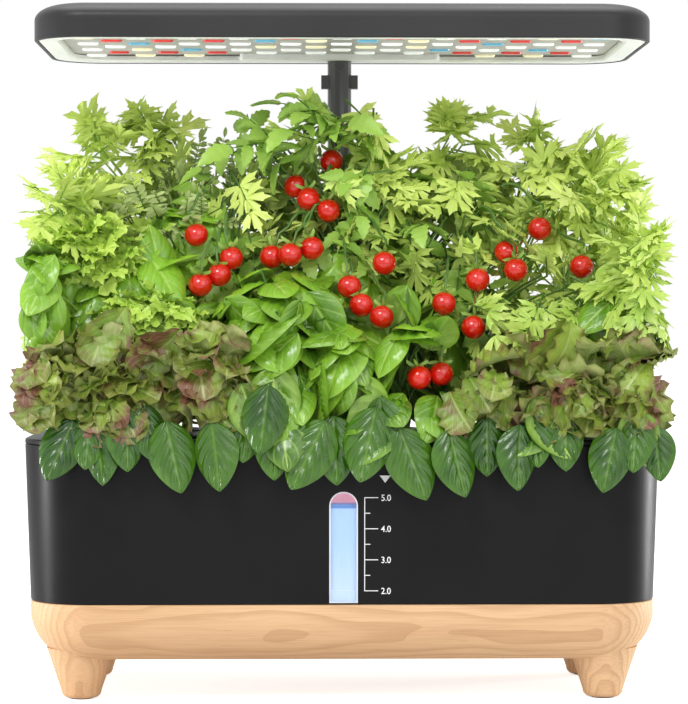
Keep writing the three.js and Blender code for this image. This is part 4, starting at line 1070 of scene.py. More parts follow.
@dataclass
class Deck:
    """Planting deck with its fill port and cap, the baskets and the sponges in them."""

    body: Body
    pods: Pods
    thickness: float = 3.0
    rounding: float = 1.4
    skirt: float = 7.0
    skirt_inset: float = 2.8
    skirt_wall: float = 2.0
    cut_past: float = 3.0
    mast_y: float = 69.0
    lead_way: float = 3.6

    port: Spot = (148.05, 44.3)
    port_half: float = 14.0
    port_corner: float = 3.0
    gap: float = 0.3
    cap_half: float = 17.0
    knuckle: float = 2.6
    bore: float = 1.6
    ear_thick: float = 3.0
    ear_root: float = 0.5
    cap_profile: tuple[Vec, ...] = (
        (0.2, 4.0, 0.0), (0.0, 4.2, 0.3), (0.0, 4.2, 1.8), (0.3, 3.9, 2.3), (0.9, 3.3, 2.6), (3.2, 2.4, 2.6),
        (3.8, 2.0, 2.25))
    plug_half: float = 13.0
    plug_corner: float = 2.4
    plug_low: float = -2.3
    plug_high: float = 0.5
    barrel_short: float = 3.5
    web_reach: float = 3.4
    web_past: float = 0.5
    web_low: float = 0.1
    web_high: float = 2.4

    basket: float = 15.2
    basket_foot: float = 12.0
    basket_wall: float = 1.2
    basket_deep: float = 45.0
    slats: int = 14
    slat_half: float = 0.085
    slat_ends: Spot = (42.0, 6.0)
    hoops: Spot = (19.0, 32.0)
    hoop_high: float = 2.0
    sponge_profile: tuple[Spot, ...] = ((10.3, -43.4), (10.5, -43.0), (13.4, -1.2), (13.2, -0.2), (12.4, 0.3))

    def build(self) -> None:
        """Build deck, cap, baskets and sponges."""
        black = Moulded("deck_black", paint(20, 20, 21), 0.4, depth=0.14, shine=0.16).material()
        self.build_plate(black)
        self.build_cap(black)
        self.build_baskets()
        self.build_sponges()

    def build_plate(self, black: Material) -> None:
        """The plate with its skirt, holes and cap ears."""
        body, top = self.body, self.body.deck_top
        low, inner = top - self.thickness, self.skirt_inset + self.skirt_wall
        edge = [body.ring(self.rounding * (1 - math.cos(a)), top - self.rounding * (1 - math.sin(a)))
                for a in (i / 6 * math.pi / 2 for i in range(7))]
        under = [body.ring(inner, low), body.ring(inner, low - self.skirt),
                 body.ring(self.skirt_inset, low - self.skirt), body.ring(self.skirt_inset, low)]
        plate = solid("deck", loft(under + [body.ring(0, low)] + edge), black)
        ends = (low - self.cut_past, top + self.cut_past)
        cuts = [rod(self.pods.hole, *ends, 48, centre) for centre in self.pods.centres()]
        cuts.append(rod(self.lead_way, *ends, 24, (0, self.mast_y)))
        half, corner = self.port_half, self.port_corner
        cuts.append(loft([rounded_ring(half, half, corner, z, 6, self.port) for z in ends]))
        carved(plate, joined(cuts))
        for side in (-1, 1):
            carved(plate, self.ear(side, black), "UNION")
        keep(plate, "deck", "tank_black", "grow_deck")

    def hinge(self) -> Spot:
        """Depth and height of the cap's pin."""
        return self.port[1] + self.cap_half + self.knuckle, self.body.deck_top + self.gap + self.knuckle

    def ear(self, side: int, black: Material) -> Piece:
        """One ear that holds the pin of the cap.

        Args:
            side: -1 for the left one, 1 for the right one.
            black: Its material.

        Returns:
            The ear.
        """
        (y, z), thick, top = self.hinge(), self.ear_thick, self.body.deck_top
        left, radius = self.port[0] + side * (self.cap_half - thick / 2) - thick / 2, self.knuckle - self.gap
        section = [(y - radius, top - self.ear_root), (y + radius, top - self.ear_root)]
        ear = solid("ear", bar(section + half_circle(radius, (y, z), 12), left, left + thick), black)
        return carved(ear, bar(self.pin_section(), left - 1, left + thick + 1))

    def pin_section(self) -> list[Spot]:
        """Section of the way for the pin."""
        return [(y, z) for y, z, _ in circle(self.bore, 0, 20, self.hinge())]

    def build_cap(self, black: Material) -> None:
        """The fill cap with rounded corners, a finger lip and its knuckle."""
        half, base, x = self.cap_half, self.body.deck_top + self.gap, self.port[0]
        rings = [rounded_ring(half - inset, half - inset, corner, base + up, 6, self.port)
                 for inset, corner, up in self.cap_profile]
        cap = solid("port_cap", loft(rings), black)
        plug = [rounded_ring(self.plug_half, self.plug_half, self.plug_corner, base + up, 5, self.port)
                for up in (self.plug_low, self.plug_high)]
        carved(cap, loft(plug), "UNION")
        y, length = self.hinge()[0], half - self.barrel_short
        round_section = [(depth, up) for depth, up, _ in circle(self.knuckle, 0, 28, self.hinge())]
        barrel = solid("knuckle", bar(round_section, x - length, x + length), black)
        near, far, low, high = y - self.web_reach, y + self.web_past, base + self.web_low, base + self.web_high
        web = [(near, low), (far, low), (far, high), (near, high)]
        carved(cap, carved(barrel, bar(web, x - length, x + length), "UNION"), "UNION")
        carved(cap, bar(self.pin_section(), x - half, x + half))
        keep(cap, "cap", "tank_black", "fill_cap")

    def build_baskets(self) -> None:
        """Net baskets: a flanged ring on slatted walls with a foot ring."""
        grey = Moulded("basket_grey", paint(52, 54, 56), 0.5, depth=0.1).material()
        for number, centre in enumerate(self.pods.centres(), 1):
            basket = solid(f"net_basket_{number:02d}", self.net_basket(centre), grey)
            keep(basket, "deck", "basket_grey", f"grow_basket_{number:02d}")

    def wall_at(self, depth: float) -> float:
        """Outer radius of a basket's wall at a depth under the flange."""
        return self.basket - (self.basket - self.basket_foot) * depth / self.basket_deep

    def net_basket(self, centre: Spot) -> Shape:
        """One basket.

        Args:
            centre: Its middle.

        Returns:
            Points and faces.
        """
        at, wall, top = self.wall_at, self.basket_wall, self.body.deck_top
        radius, foot, deep = self.basket, self.basket_foot, self.basket_deep
        profiles = [[(at(7), -7), (radius, 0.3), (radius + 3.2, 0.3), (radius + 3.4, 0.7), (radius + 2.6, 1.1),
                     (radius - 0.4, 1.5), (radius - wall, 1.2), (at(7) - wall, -7)]]
        for depth in self.hoops:
            low = depth + self.hoop_high
            profiles.append([(at(low), -low), (at(depth), -depth), (at(depth) - wall, -depth), (at(low) - wall, -low)])
        profiles.append([(foot, -deep), (at(41), -41), (at(41) - wall, -41), (foot - wall, -deep + wall),
                         (foot - 4, -deep + wall), (foot - 4, -deep)])
        shapes = [skin([circle(r, top + z, 40, centre) for r, z in profile], True) for profile in profiles]
        for angle in (2 * math.pi * k / self.slats for k in range(self.slats)):
            rings = []
            for depth in self.slat_ends:
                outer, inner, half = at(depth), at(depth) - wall, self.slat_half
                low, high = angle - half, angle + half
                rings.append([(centre[0] + r * math.cos(a), centre[1] + r * math.sin(a), top - depth)
                              for r, a in ((outer, low), (outer, high), (inner, high), (inner, low))])
            shapes.append(loft(rings))
        return joined(shapes)

    def build_sponges(self) -> None:
        """The grow sponges in the baskets."""
        top = self.body.deck_top
        shapes = [loft([circle(r, top + z, 36, centre) for r, z in self.sponge_profile])
                  for centre in self.pods.centres()]
        keep(solid("grow_sponges", joined(shapes), Sponge().material()), "deck", "basket_grey")


@dataclass
class Lamp:
    """Grow lamp: shell, white rim with its neck block, reflector and lenses, and the buttons."""

    width: float = 362.0
    depth: float = 165.0
    bottom: float = 386.5
    band: float = 12.2
    crown: float = 9.3
    crown_wide: float = 18.0
    corner: float = 32.0
    edge_break: float = 0.5
    wall: float = 2.2
    gap: float = 0.3

    rim: float = 12.0
    rim_thick: float = 3.3
    mast_y: float = 69.0
    mast_bore: float = 7.8
    neck_width: float = 126.0
    neck_depth: float = 25.0
    neck_corner: float = 3.0
    neck_high: float = 11.6

    sheet_inset: float = 5.0
    sheet_thick: float = 1.7
    sheet_back: float = 90.0
    lens_length: float = 13.0
    lens_width: float = 5.6
    lens_side: float = 7.0
    lens_front: float = 4.3
    lens_profile: tuple[Spot, ...] = ((1.6, -1.35), (0.6, -1.1), (0.1, -0.5), (0.0, 0.2))
    lens_rows: tuple[str, ...] = (
        "WWCWWWWCWW", "CWWWRWRWWCB", "RRRBCBCRRR", "WBWWWWWWBWW", "WWWCCCCWWW", "WCBWWWWBWBW", "RRRWWWWRRR",
        "WCCWWWWWCCW")

    button: float = 4.0
    button_pitch: float = 22.0
    button_y: float = 30.0
    button_proud: float = 0.8
    button_foot: tuple[Spot, ...] = ((2.0, -2.9), (2.0, -1.3), (5.3, -1.3), (5.3, 0.0), (4.0, 0.0))
    button_head: tuple[Spot, ...] = ((4.0, -0.4), (3.85, -0.12), (3.5, 0.0), (3.0, 0.0), (1.2, -0.25))

    spring_wire: float = 0.3
    spring_turns: int = 4
    spring_facets: int = 16
    spring_tighten: float = 0.9

    def ring(self, inset: float, z: float) -> Ring:
        """The lamp's outline at a height, drawn in by an inset."""
        return rounded_ring(self.width / 2 - inset, self.depth / 2 - inset, self.corner - inset, z)

    def build(self) -> None:
        """Build the lamp."""
        black = Moulded("lamp_black", paint(40, 40, 41), 0.4, depth=0.2, shine=0.3).material()
        self.build_shell(black)
        self.build_rim()
        self.build_lenses()
        self.build_buttons(black)
        self.build_spring()

    def build_shell(self, black: Material) -> None:
        """The shell: straight sides under a curved top edge."""
        shoulder, top, bottom = self.bottom + self.band, self.bottom + self.band + self.crown, self.bottom
        outside = [self.ring(self.edge_break, bottom), self.ring(0, bottom + self.edge_break),
                   self.ring(0, shoulder - 1)]
        outside += [self.ring(self.crown_wide * (1 - math.cos(a)), shoulder + self.crown * math.sin(a))
                    for a in (i / 14 * math.pi / 2 for i in range(15))]
        inside = [self.ring(self.wall, bottom), self.ring(self.wall, shoulder),
                  self.ring(self.crown_wide * 2 / 3, top - self.wall)]
        shell = solid("lamp_housing", loft(inside[::-1] + outside), black)
        holes = [rod(self.button + self.gap, top - 6, top + 3, 32, (x, self.button_y))
                 for x in (-self.button_pitch, 0, self.button_pitch)]
        keep(carved(shell, joined(holes)), "lamp_head", "lamp_black", "lamp_shell")

    def build_rim(self) -> None:
        """The white rim with the neck block that holds the mast."""
        white = Moulded("rim_white", paint(246, 247, 249), 0.35, depth=0.05).material()
        outer, low = self.wall + self.gap, self.bottom + self.gap
        inner, high = outer + self.rim, low + self.rim_thick
        points, faces = skin([self.ring(outer, low + 0.4), self.ring(outer + 0.4, low), self.ring(inner - 1.2, low),
                              self.ring(inner, low + 1.0), self.ring(inner, high), self.ring(outer, high)], True)
        rim = solid("lamp_rim", (points, [face[::-1] for face in faces]), white)
        middle = self.depth / 2 - outer - self.neck_depth + self.neck_depth / 2
        half_x, half_y, steps = self.neck_width / 2, self.neck_depth / 2, ((0.5, 0.0), (0.0, 0.5), (0.0, self.neck_high))
        block = [rounded_ring(half_x - inset, half_y - inset, self.neck_corner - inset, low + up, 5, (0, middle))
                 for inset, up in steps]
        carved(rim, loft(block), "UNION")
        carved(rim, rod(self.mast_bore, low - 3, low + 15, 40, (0, self.mast_y)))
        keep(rim, "lamp_head", "white_plastic", "lamp_bezel")

    def build_lenses(self) -> None:
        """The reflector sheet and the pill-shaped lenses, one piece for each colour."""
        z = self.bottom + self.gap + self.rim_thick + self.gap
        rings = [self.ring(self.sheet_inset, z), self.ring(self.sheet_inset, z + self.sheet_thick)]
        sheet = solid("reflector_sheet", loft(rings), Reflector().material())
        front = self.depth / 2 - self.wall - self.gap - self.neck_depth
        half, near, far = self.neck_width / 2 + self.gap, front - self.gap, self.sheet_back
        notch = [[(-half, near, level), (half, near, level), (half, far, level), (-half, far, level)]
                 for level in (z - 5, z + 5)]
        keep(carved(sheet, loft(notch)), "lamp_head", "led_lens", "led_lens_plate")
        tints = {"W": Lens("lens_white", paint(238, 240, 240)), "C": Lens("lens_cream", paint(240, 228, 190)),
                 "R": Lens("lens_red", paint(214, 40, 36), 0.2), "B": Lens("lens_blue", paint(90, 170, 205), 0.2)}
        pills: dict[str, list[Shape]] = {letter: [] for letter in tints}
        for letter, x, y in self.lens_places():
            if y + self.lens_width <= front or abs(x) >= self.neck_width / 2 + self.lens_length:
                pills[letter].append(self.pill((x, y), z))
        for letter, tint in tints.items():
            lenses = solid(tint.name.replace("lens", "lenses"), joined(pills[letter]), tint.material())
            keep(lenses, "lamp_head", "led_lens")

    def lens_places(self) -> list[tuple[str, float, float]]:
        """Letter and middle of every lens, front row first, left to right."""
        inset = self.wall + self.gap + self.rim
        pitch = (self.width - 2 * (inset + self.lens_side) - self.lens_length) / 10
        row_pitch = (self.depth - 2 * (inset + self.lens_front) - self.lens_width) / 7
        return [(letter, (i - (len(letters) - 1) / 2) * pitch, (row - 3.5) * row_pitch)
                for row, letters in enumerate(self.lens_rows) for i, letter in enumerate(letters)]

    def pill(self, centre: Spot, z: float) -> Shape:
        """A domed pill under the reflector."""
        rings = []
        for inset, up in self.lens_profile:
            half, radius = self.lens_length / 2 - inset, self.lens_width / 2 - inset
            rings.append(rounded_ring(half, radius, radius - 0.01, z + up, 6, centre))
        return loft(rings)

    def build_spring(self) -> None:
        """The coil between the lock tabs, in two halves."""
        steel = Metal("spring_steel", paint(190, 194, 200), 0.3, 1.0, (300.0, 900.0, 900.0)).material()
        low, high = (Vector(corner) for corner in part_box("tab_spring"))
        middle, half, wire = (low + high) / 2, (high.x - low.x) / 2, self.spring_wire * MM
        radius = (high.z - low.z) / 2 - wire
        steps = self.spring_turns * self.spring_facets
        for side, name in ((-1, "left"), (1, "right")):
            path = []
            for i in range(steps + 1):
                share, angle = i / steps, 2 * math.pi * i / self.spring_facets
                reach = (share ** self.spring_tighten) * (half - wire)
                path.append(middle + Vector((side * reach, math.sin(angle) * radius, math.cos(angle) * radius)))
            batch = Batch()
            batch.add(*tube(path, [wire] * len(path), 6, (1.0, 0.0, 0.0)))
            coil = batch.piece(f"tab_coil_{name}", steel, 60)
            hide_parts("tab_spring")
            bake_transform(coil)

    def build_buttons(self, black: Material) -> None:
        """The three touch buttons, slightly dished."""
        crown = self.bottom + self.band + self.crown
        top, flange = crown + self.button_proud, crown - self.wall - self.gap
        profile = [(r, flange + up) for r, up in self.button_foot] + [(r, top + up) for r, up in self.button_head]
        for name, x in (("left", -self.button_pitch), ("middle", 0.0), ("right", self.button_pitch)):
            rings = [circle(r, z, 40, (x, self.button_y)) for r, z in profile]
            keep(solid(f"button_{name}", loft(rings), black), f"button_{name}", "lamp_black", f"lamp_button_{name}")


@dataclass
class KeptNodes:
    """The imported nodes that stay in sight, with their finishes."""

    crease: float = 40.0

    def dress(self) -> None:
        """Give each of them its material and smooth its round sides."""
        finishes: tuple[tuple[Metal | Moulded | Board | Channel, tuple[str, ...]], ...] = (
            (Metal("mast_black", paint(80, 80, 82), 0.34, 0.25),
             ("mast_lower_tube", "mast_collar", "mast_upper_tube", "lock_tab_left", "lock_tab_right", "neck_screw")),
            (Moulded("socket_black", paint(36, 36, 38), 0.42, depth=0.14), ("mast_socket", "power_jack")),
            (Metal("zinc_steel", paint(190, 194, 200), 0.3, 1.0, (300.0, 900.0, 900.0)), ("fill_cap_pin",)),
            (Moulded("pump_grey", paint(46, 50, 54), 0.5), ("pump_body", "pump_cover", "pump_riser")),
            (Moulded("impeller_white", paint(226, 228, 230), 0.4), ("pump_impeller",)),
            (Moulded("rubber_black", paint(26, 26, 26), 0.8, 2400.0, 0.2),
             ("pump_lead", "foot_pad_front_left", "foot_pad_front_right", "foot_pad_rear_left",
              "foot_pad_rear_right")),
            (Board(), ("led_board", "control_board")),
            (Channel(), ("sight_channel",)),
            (Moulded("float_blue", paint(112, 172, 246), 0.35, depth=0.03), ("level_float",)),
        )
        for finish, names in finishes:
            material = finish.material()
            for name in names:
                dress_mesh(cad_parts[name].data, material, self.crease)
                log.info("dressed %s", name)


# The plants -------------------------------------------------------------------------------


class Form(Enum):
    """How a leaf's outline is laid out."""

    BLADE = "blade"
    FAN = "fan"


@dataclass(frozen=True)
class LeafForm:
    """Outline and relief of one kind of leaf.

    Lengths are shares of the leaf's length; waves, lobes, teeth and veins are counts.
    """

    form: Form = Form.BLADE
    wide: float = 0.62
    belly: float = 0.42
    blunt: float = 0.75
    cup: float = 0.22
    pucker: float = 0.035
    ruffle: float = 0.0
    waves: float = 3.0
    lobes: float = 0.0
    lobe_depth: float = 0.0
    tooth: float = 0.0
    teeth: float = 0.0
    veins: float = 5.0
    slant: float = 0.35
    spread: float = 1.25
    rows: int = 12
    columns: int = 8
    thick: float = 0.0004
    point: float = 0.7

    @functools.cache
    def grid(self) -> Arrays:
        """Numbering of the two sheets that share the leaf's rim.

        Returns:
            Along and across shares of every point, 1 for points of the lower sheet, and faces.
        """
        rows, columns = self.rows, self.columns
        along, across = np.meshgrid(np.linspace(0, 1, rows + 1), np.linspace(-1, 1, columns + 1), indexing="ij")
        upper = np.arange((rows + 1) * (columns + 1)).reshape(rows + 1, columns + 1)
        lower = upper.copy()
        inner = (rows - 1) * (columns - 1)
        lower[1:-1, 1:-1] = upper.size + np.arange(inner).reshape(rows - 1, columns - 1)
        quads = []
        for sheet, order in ((upper, (0, 1, 2, 3)), (lower, (0, 3, 2, 1))):
            corners = np.stack([sheet[:-1, :-1], sheet[:-1, 1:], sheet[1:, 1:], sheet[1:, :-1]], -1).reshape(-1, 4)
            quads.append(corners[:, order])
        along = np.concatenate([along.ravel(), along[1:-1, 1:-1].ravel()])
        across = np.concatenate([across.ravel(), across[1:-1, 1:-1].ravel()])
        below = np.concatenate([np.zeros(upper.size), np.ones(inner)])
        return along, across, below, np.vstack(quads)

    def shape(self, length: float, curl: float, rng: random.Random) -> Arrays:
        """Points of one leaf that starts at the origin, runs along +Y and faces +Z.

        Args:
            length: Length in metres.
            curl: Angle through which the leaf bends down over its length.
            rng: Source of its small differences.

        Returns:
            Points, along-and-across marks, lower-sheet marks and faces.
        """
        along, across, below, faces = self.grid()
        side, phase = np.abs(across), rng.uniform(0, TURN)
        if self.form is Form.BLADE:
            edge, track = side ** 2, along
            power = math.log(0.5) / math.log(self.belly)
            outline = np.sin(np.pi * np.clip(along, 0.0, 1.0) ** power) ** self.blunt
            outline = outline * (1 + self.tooth * (np.mod(along * self.teeth, 1.0) - 0.5))
            outline = outline * (1 - self.lobe_depth * np.cos(np.pi * self.lobes * along) ** 2)
            outline = np.maximum(outline, 0.03)
            half = self.wide / 2 * length * outline
            x, y = across * half, along * length
            swell = np.clip(4 * side * (1 - side), 0, 1) * outline
            ribs = np.sin(np.pi * (along - side * self.slant) * self.veins) ** 2
            z = self.cup * side ** 2 * half + self.pucker * length * ribs * swell - 0.012 * length * (side < 0.1)
        else:
            edge, track = along ** 2, across
            angle = across * self.spread
            reach = 1 - self.lobe_depth * (1 - np.abs(np.cos(np.pi / 2 * self.lobes * across)) ** self.point)
            reach = reach * (1 + self.tooth * np.cos(self.teeth * np.pi * across)) * (0.75 + 0.25 * np.cos(angle))
            radius = np.maximum(along, 0.04) * length * reach
            x, y = radius * np.sin(angle), radius * np.cos(angle)
            folds = np.abs(np.cos(np.pi * self.lobes * across))
            z = self.cup * side * radius * 0.5 + self.pucker * length * folds * along
        z = z + self.ruffle * length * edge * np.sin(2 * np.pi * self.waves * track + phase + 1.3 * np.sign(across))
        z = z - below * self.thick * (1 + 2.0 * np.clip(1 - side * 6, 0, 1))
        bend = max(abs(curl), 1e-3) * (1 if curl >= 0 else -1)
        turn = bend * y / length
        out = length * np.sin(turn) / bend + z * np.sin(turn)
        rise = -length * (1 - np.cos(turn)) / bend + z * np.cos(turn)
        points = np.stack([x, out, rise], -1)
        return points, np.stack([across, along], -1), below, faces


@dataclass(frozen=True)
class Room:
    """Where leaves may be: inside the outline of the part and clear of its hard pieces."""

    side: float = 0.1935
    front: float = 0.1075
    top: float = 0.3625
    tank_x: float = 0.1887
    tank_y: float = 0.0872
    deck: float = 0.1562
    mast_y: float = 0.069
    mast_room: float = 0.0125
    socket: float = 0.0160
    socket_top: float = 0.1925
    cap: tuple[Vec, Vec] = ((0.1295, 0.0255, 0.15), (0.1670, 0.0760, 0.1990))
    gauge: Vec = (-0.0095, 0.0325, 0.1275)

    def holds(self, points: np.ndarray) -> bool:
        """Whether all points are where leaves may be.

        Args:
            points: The points, in metres.

        Returns:
            Whether none of them leaves the outline or is in a hard piece.
        """
        x, y, z = points[:, 0], points[:, 1], points[:, 2]
        wide, deep, back = np.abs(x), np.abs(y), np.abs(y - self.mast_y)
        left, right, above = self.gauge
        low, high = self.cap
        blocked = (
            (wide > self.side) | (deep > self.front) | (z > self.top),
            (wide < self.tank_x) & (deep < self.tank_y) & (z < self.deck),
            x ** 2 + (y - self.mast_y) ** 2 < self.mast_room ** 2,
            (wide < self.socket) & (back < self.socket) & (z < self.socket_top),
            (x > left) & (x < right) & (z < above),
            ((points > low) & (points < high)).all(axis=1),
        )
        return not any(part.any() for part in blocked)


@dataclass(frozen=True)
class Fruit:
    """One cherry tomato: where it hangs and from which pod it grows."""

    pod: int
    x: float
    y: float
    z: float
    radius: float = 7.2

    @property
    def centre(self) -> Vector:
        """Its middle, in metres."""
        return Vector((self.x, self.y, self.z)) * MM


@dataclass(frozen=True)
class Species:
    """A kind of leaf: its form, how leaves are grouped, and its colours."""

    name: str
    slot: str
    form: LeafForm
    skin: LeafSkin
    leaflets: int = 1
    short: float = 30.0
    long: float = 48.0
    spray: float = 0.0
    curl: float = 0.7
    lift: float = 0.15
    scatter: float = 0.8
    sink: float = 2.0
    stalk: float = 0.9
    stems: float = 0.5
    upright: float = 0.85


@dataclass(frozen=True)
class Mix:
    """How many groups of a kind grow on a plant's crown, and between which shares of its height."""

    kind: str
    groups: int
    low: float = 0.0
    high: float = 1.0


@dataclass(frozen=True)
class Bed:
    """What grows in one pod."""

    pod: int
    node: str
    stem: str
    mixes: tuple[Mix, ...]


@dataclass(frozen=True)
class Clump:
    """A rounded mass of one kind of leaf; middle and half sizes in millimetres."""

    pod: int
    kind: str
    middle: Vec
    half: Vec
    groups: int
    scale: float = 1.0
    most_back: float = 0.45
    most_down: float = 0.75

    def places(self, rng: random.Random) -> list[Place]:
        """Places over its front, sides and top.

        Args:
            rng: Source of the places.

        Returns:
            The places, with the way each of them faces.
        """
        found = []
        while len(found) < self.groups:
            way = Vector([rng.gauss(0, 1) for _ in range(3)]).normalized()
            if way.y > self.most_back or way.z < -self.most_down:
                continue
            place = Vector([middle + share * half * rng.uniform(0.75, 1.0)
                            for middle, share, half in zip(self.middle, way, self.half)]) * MM
            found.append((place, Vector([share / half for share, half in zip(way, self.half)]).normalized()))
        return found


@dataclass(frozen=True)
class Hanging:
    """One leaf that hangs over the front edge: its tip, length, sideways lean and how far it stands out."""

    pod: int
    x: float
    z: float
    length: float
    lean: float = 0.0
    out: float = 0.0


class Plant:
    """One plant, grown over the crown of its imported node."""

    front = 96.5
    root = 0.154
    deck_clear = 0.165
    front_clear = 0.088
    fruit_share = 0.9
    fruit_behind = 0.008

    def __init__(self, bed: Bed, kinds: dict[str, Species], centre: Spot, fruits: Sequence[Fruit]) -> None:
        """Set up the plant.

        Args:
            bed: What grows in the pod.
            kinds: Every kind of leaf, by name.
            centre: Centre of its pod, in millimetres.
            fruits: Every fruit of the garden, which leaves don't cover.
        """
        self.bed, self.kinds = bed, kinds
        self.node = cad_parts[bed.node]
        self.rng = random.Random(SEED * 100 + bed.pod)
        self.axis = Vector((centre[0] * MM, centre[1] * MM, self.root))
        self.fruits = fruits
        self.room = Room()
        self.kind = kinds[bed.mixes[0].kind]
        self.scale = 1.0
        self.batches: dict[str, Batch] = {}
        self.stems = Batch()
        low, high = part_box(bed.node)
        self.low, self.high = Vector(low), Vector(high)

    def surface(self, mix: Mix) -> list[Place]:
        """Places spread over the crown.

        Args:
            mix: How many there are, and between which heights.

        Returns:
            The places, with the way each of them faces.
        """
        mesh, tall = self.node.data, self.high.z - self.low.z
        floor, roof = self.low.z + mix.low * tall, self.low.z + mix.high * tall
        faces = [face for face in mesh.polygons if floor <= face.center.z <= roof
                 and (face.center.z > self.deck_clear or abs(face.center.y) > self.front_clear)]
        weights = [face.area * (0.35 + 0.65 * min(1.0, max(0.0, 0.35 - face.normal.y))) for face in faces]
        places = []
        for face in self.rng.choices(faces, weights=weights, k=mix.groups):
            corners = [mesh.vertices[i].co for i in face.vertices]
            shares = [-math.log(self.rng.random() + 1e-9) for _ in corners]
            total = sum(shares)
            place = sum((corner * (share / total) for corner, share in zip(corners, shares)), Vector())
            places.append((place, face.normal.copy()))
        return places

    def hides_fruit(self, points: np.ndarray) -> bool:
        """Whether the points would stand in front of a fruit."""
        x, y, z = points[:, 0], points[:, 1], points[:, 2]
        for fruit in self.fruits:
            middle, near = fruit.centre, fruit.radius * self.fruit_share * MM
            before = y < middle.y + self.fruit_behind
            if ((np.abs(x - middle.x) < near) & (np.abs(z - middle.z) < near) & before).any():
                return True
        return False

    def leaf(self, base: Vector, ahead: Vector, up: Vector, length: float, curl: float, light_and_tone: float) -> bool:
        """Add one leaf, where there is room for it.

        Args:
            base: Where its blade begins, in metres.
            ahead: The way it runs.
            up: The way its upper side faces.
            length: Its length in metres.
            curl: How far it bends down, as an angle.
            light_and_tone: Its place between the darkest and the brightest green, which paints shade and light.

        Returns:
            Whether it was added.
        """
        ahead = ahead.normalized()
        up = (up - ahead * up.dot(ahead)).normalized()
        side = ahead.cross(up)
        shape, marks, below, faces = self.kind.form.shape(length, curl, self.rng)
        points = shape @ np.array([side, ahead, up]) + np.array(base)
        if not self.room.holds(points) or self.hides_fruit(points):
            return False
        tones = np.full((len(points), 1), min(1.0, max(0.0, light_and_tone)))
        self.batches.setdefault(self.kind.name, Batch()).add(points, faces, np.hstack([marks, tones]), below)
        return True

    def light_and_tone(self, place: Vector) -> float:
        """Tone of a leaf, painted light and shade: brighter towards the top and the back of the garden, darker low
        down, with a random spread.
        """
        height, depth = (place.z - 0.15) / 0.16, max(0.0, place.y + 0.04) / 0.1
        return min(1.0, max(0.0, 0.06 + 0.92 * height + 0.3 * depth + self.rng.uniform(-0.3, 0.3)))

    def twig(self, path: Sequence[Vector], radii: Sequence[float], sides: int = 5, rooted: int = 0) -> bool:
        """Add a stem along a path, where there is room for it.

        Args:
            path: The path, in metres.
            radii: Its radius at each point, in millimetres.
            sides: Number of its sides.
            rooted: How many of its first rings may be in a hard piece.

        Returns:
            Whether it was added.
        """
        points, faces = tube(path, [radius * MM for radius in radii], sides)
        if not self.room.holds(points[rooted * sides:]) or self.hides_fruit(points):
            return False
        self.stems.add(points, faces)
        return True

    def stem(self, end: Vector, radius: float, share: float = 0.35) -> None:
        """Grow a stem from the middle of the plant out to a place.

        Args:
            end: The place.
            radius: Its middle radius, in millimetres.
            share: How much lower it starts, against its reach.
        """
        reach = (end - self.axis).length
        start = Vector((self.axis.x, self.axis.y, max(self.axis.z, end.z - 0.012 - reach * share)))
        start += Vector((self.rng.uniform(-1, 1), self.rng.uniform(-1, 1), 0)) * 0.004
        path = arc_path(start, end, Vector((0, 0, 0.003 + 0.05 * (end - start).length)), 5)
        self.twig(path, [radius * (1.25 - 0.5 * i / 5) for i in range(6)])

    def grow(self, clumps: Sequence[Clump]) -> None:
        """Grow leaves and stems all over the crown, and the clumps beside it."""
        for mix in self.bed.mixes:
            self.kind, self.scale = self.kinds[mix.kind], 1.0
            self.cover(self.surface(mix))
        for clump in clumps:
            self.kind, self.scale = self.kinds[clump.kind], clump.scale
            self.cover(clump.places(self.rng))
        self.scale = 1.0
        self.main_stems()

    def cover(self, places: Sequence[Place]) -> None:
        """Grow the current kind.

        Args:
            places: Where it grows, with the way each place faces.
        """
        kind, rng = self.kind, self.rng
        for place, facing in places:
            out = Vector((place.x - self.axis.x, place.y - self.axis.y, 0))
            out = out.normalized() if out.length > 1e-4 else Vector((0, -1, 0))
            facing = (facing * 0.7 + out * 0.25 + Vector((0, 0, 0.45))).normalized()
            down = Vector((0, 0, -1)) + facing * facing.z
            down = out.copy() if down.length < 0.35 else down.normalized()
            swing = rng.uniform(-1, 1) * kind.scatter + (rng.uniform(-2.4, 2.4) if facing.z > 0.9 else 0)
            down.rotate(Matrix.Rotation(swing, 3, facing))
            height = (place.z - self.low.z) / max(0.02, self.high.z - self.low.z)
            lift = kind.lift + rng.uniform(-0.25, 0.3) + (rng.uniform(0.3, 0.9) if height > kind.upright else 0)
            ahead = down * math.cos(lift) + facing * math.sin(lift)
            up = facing * math.cos(lift) - down * math.sin(lift)
            place = place + facing * rng.uniform(-kind.sink, 1.5) * MM
            if kind.leaflets == 1:
                self.single(place, ahead, up)
            else:
                self.compound(place, ahead, up)

    def single(self, place: Vector, ahead: Vector, up: Vector) -> None:
        """Grow one leaf on its stalk.

        Args:
            place: Its middle, in metres.
            ahead: The way it runs.
            up: The way its upper side faces.
        """
        kind, rng = self.kind, self.rng
        length = rng.uniform(kind.short, kind.long) * self.scale * MM
        curl = kind.curl * rng.uniform(0.5, 1.3)
        base = place - ahead * length * 0.5
        if self.leaf(base, ahead, up, length, curl, self.light_and_tone(place)) and rng.random() < kind.stems:
            self.stem(base + ahead * 0.001, kind.stalk)

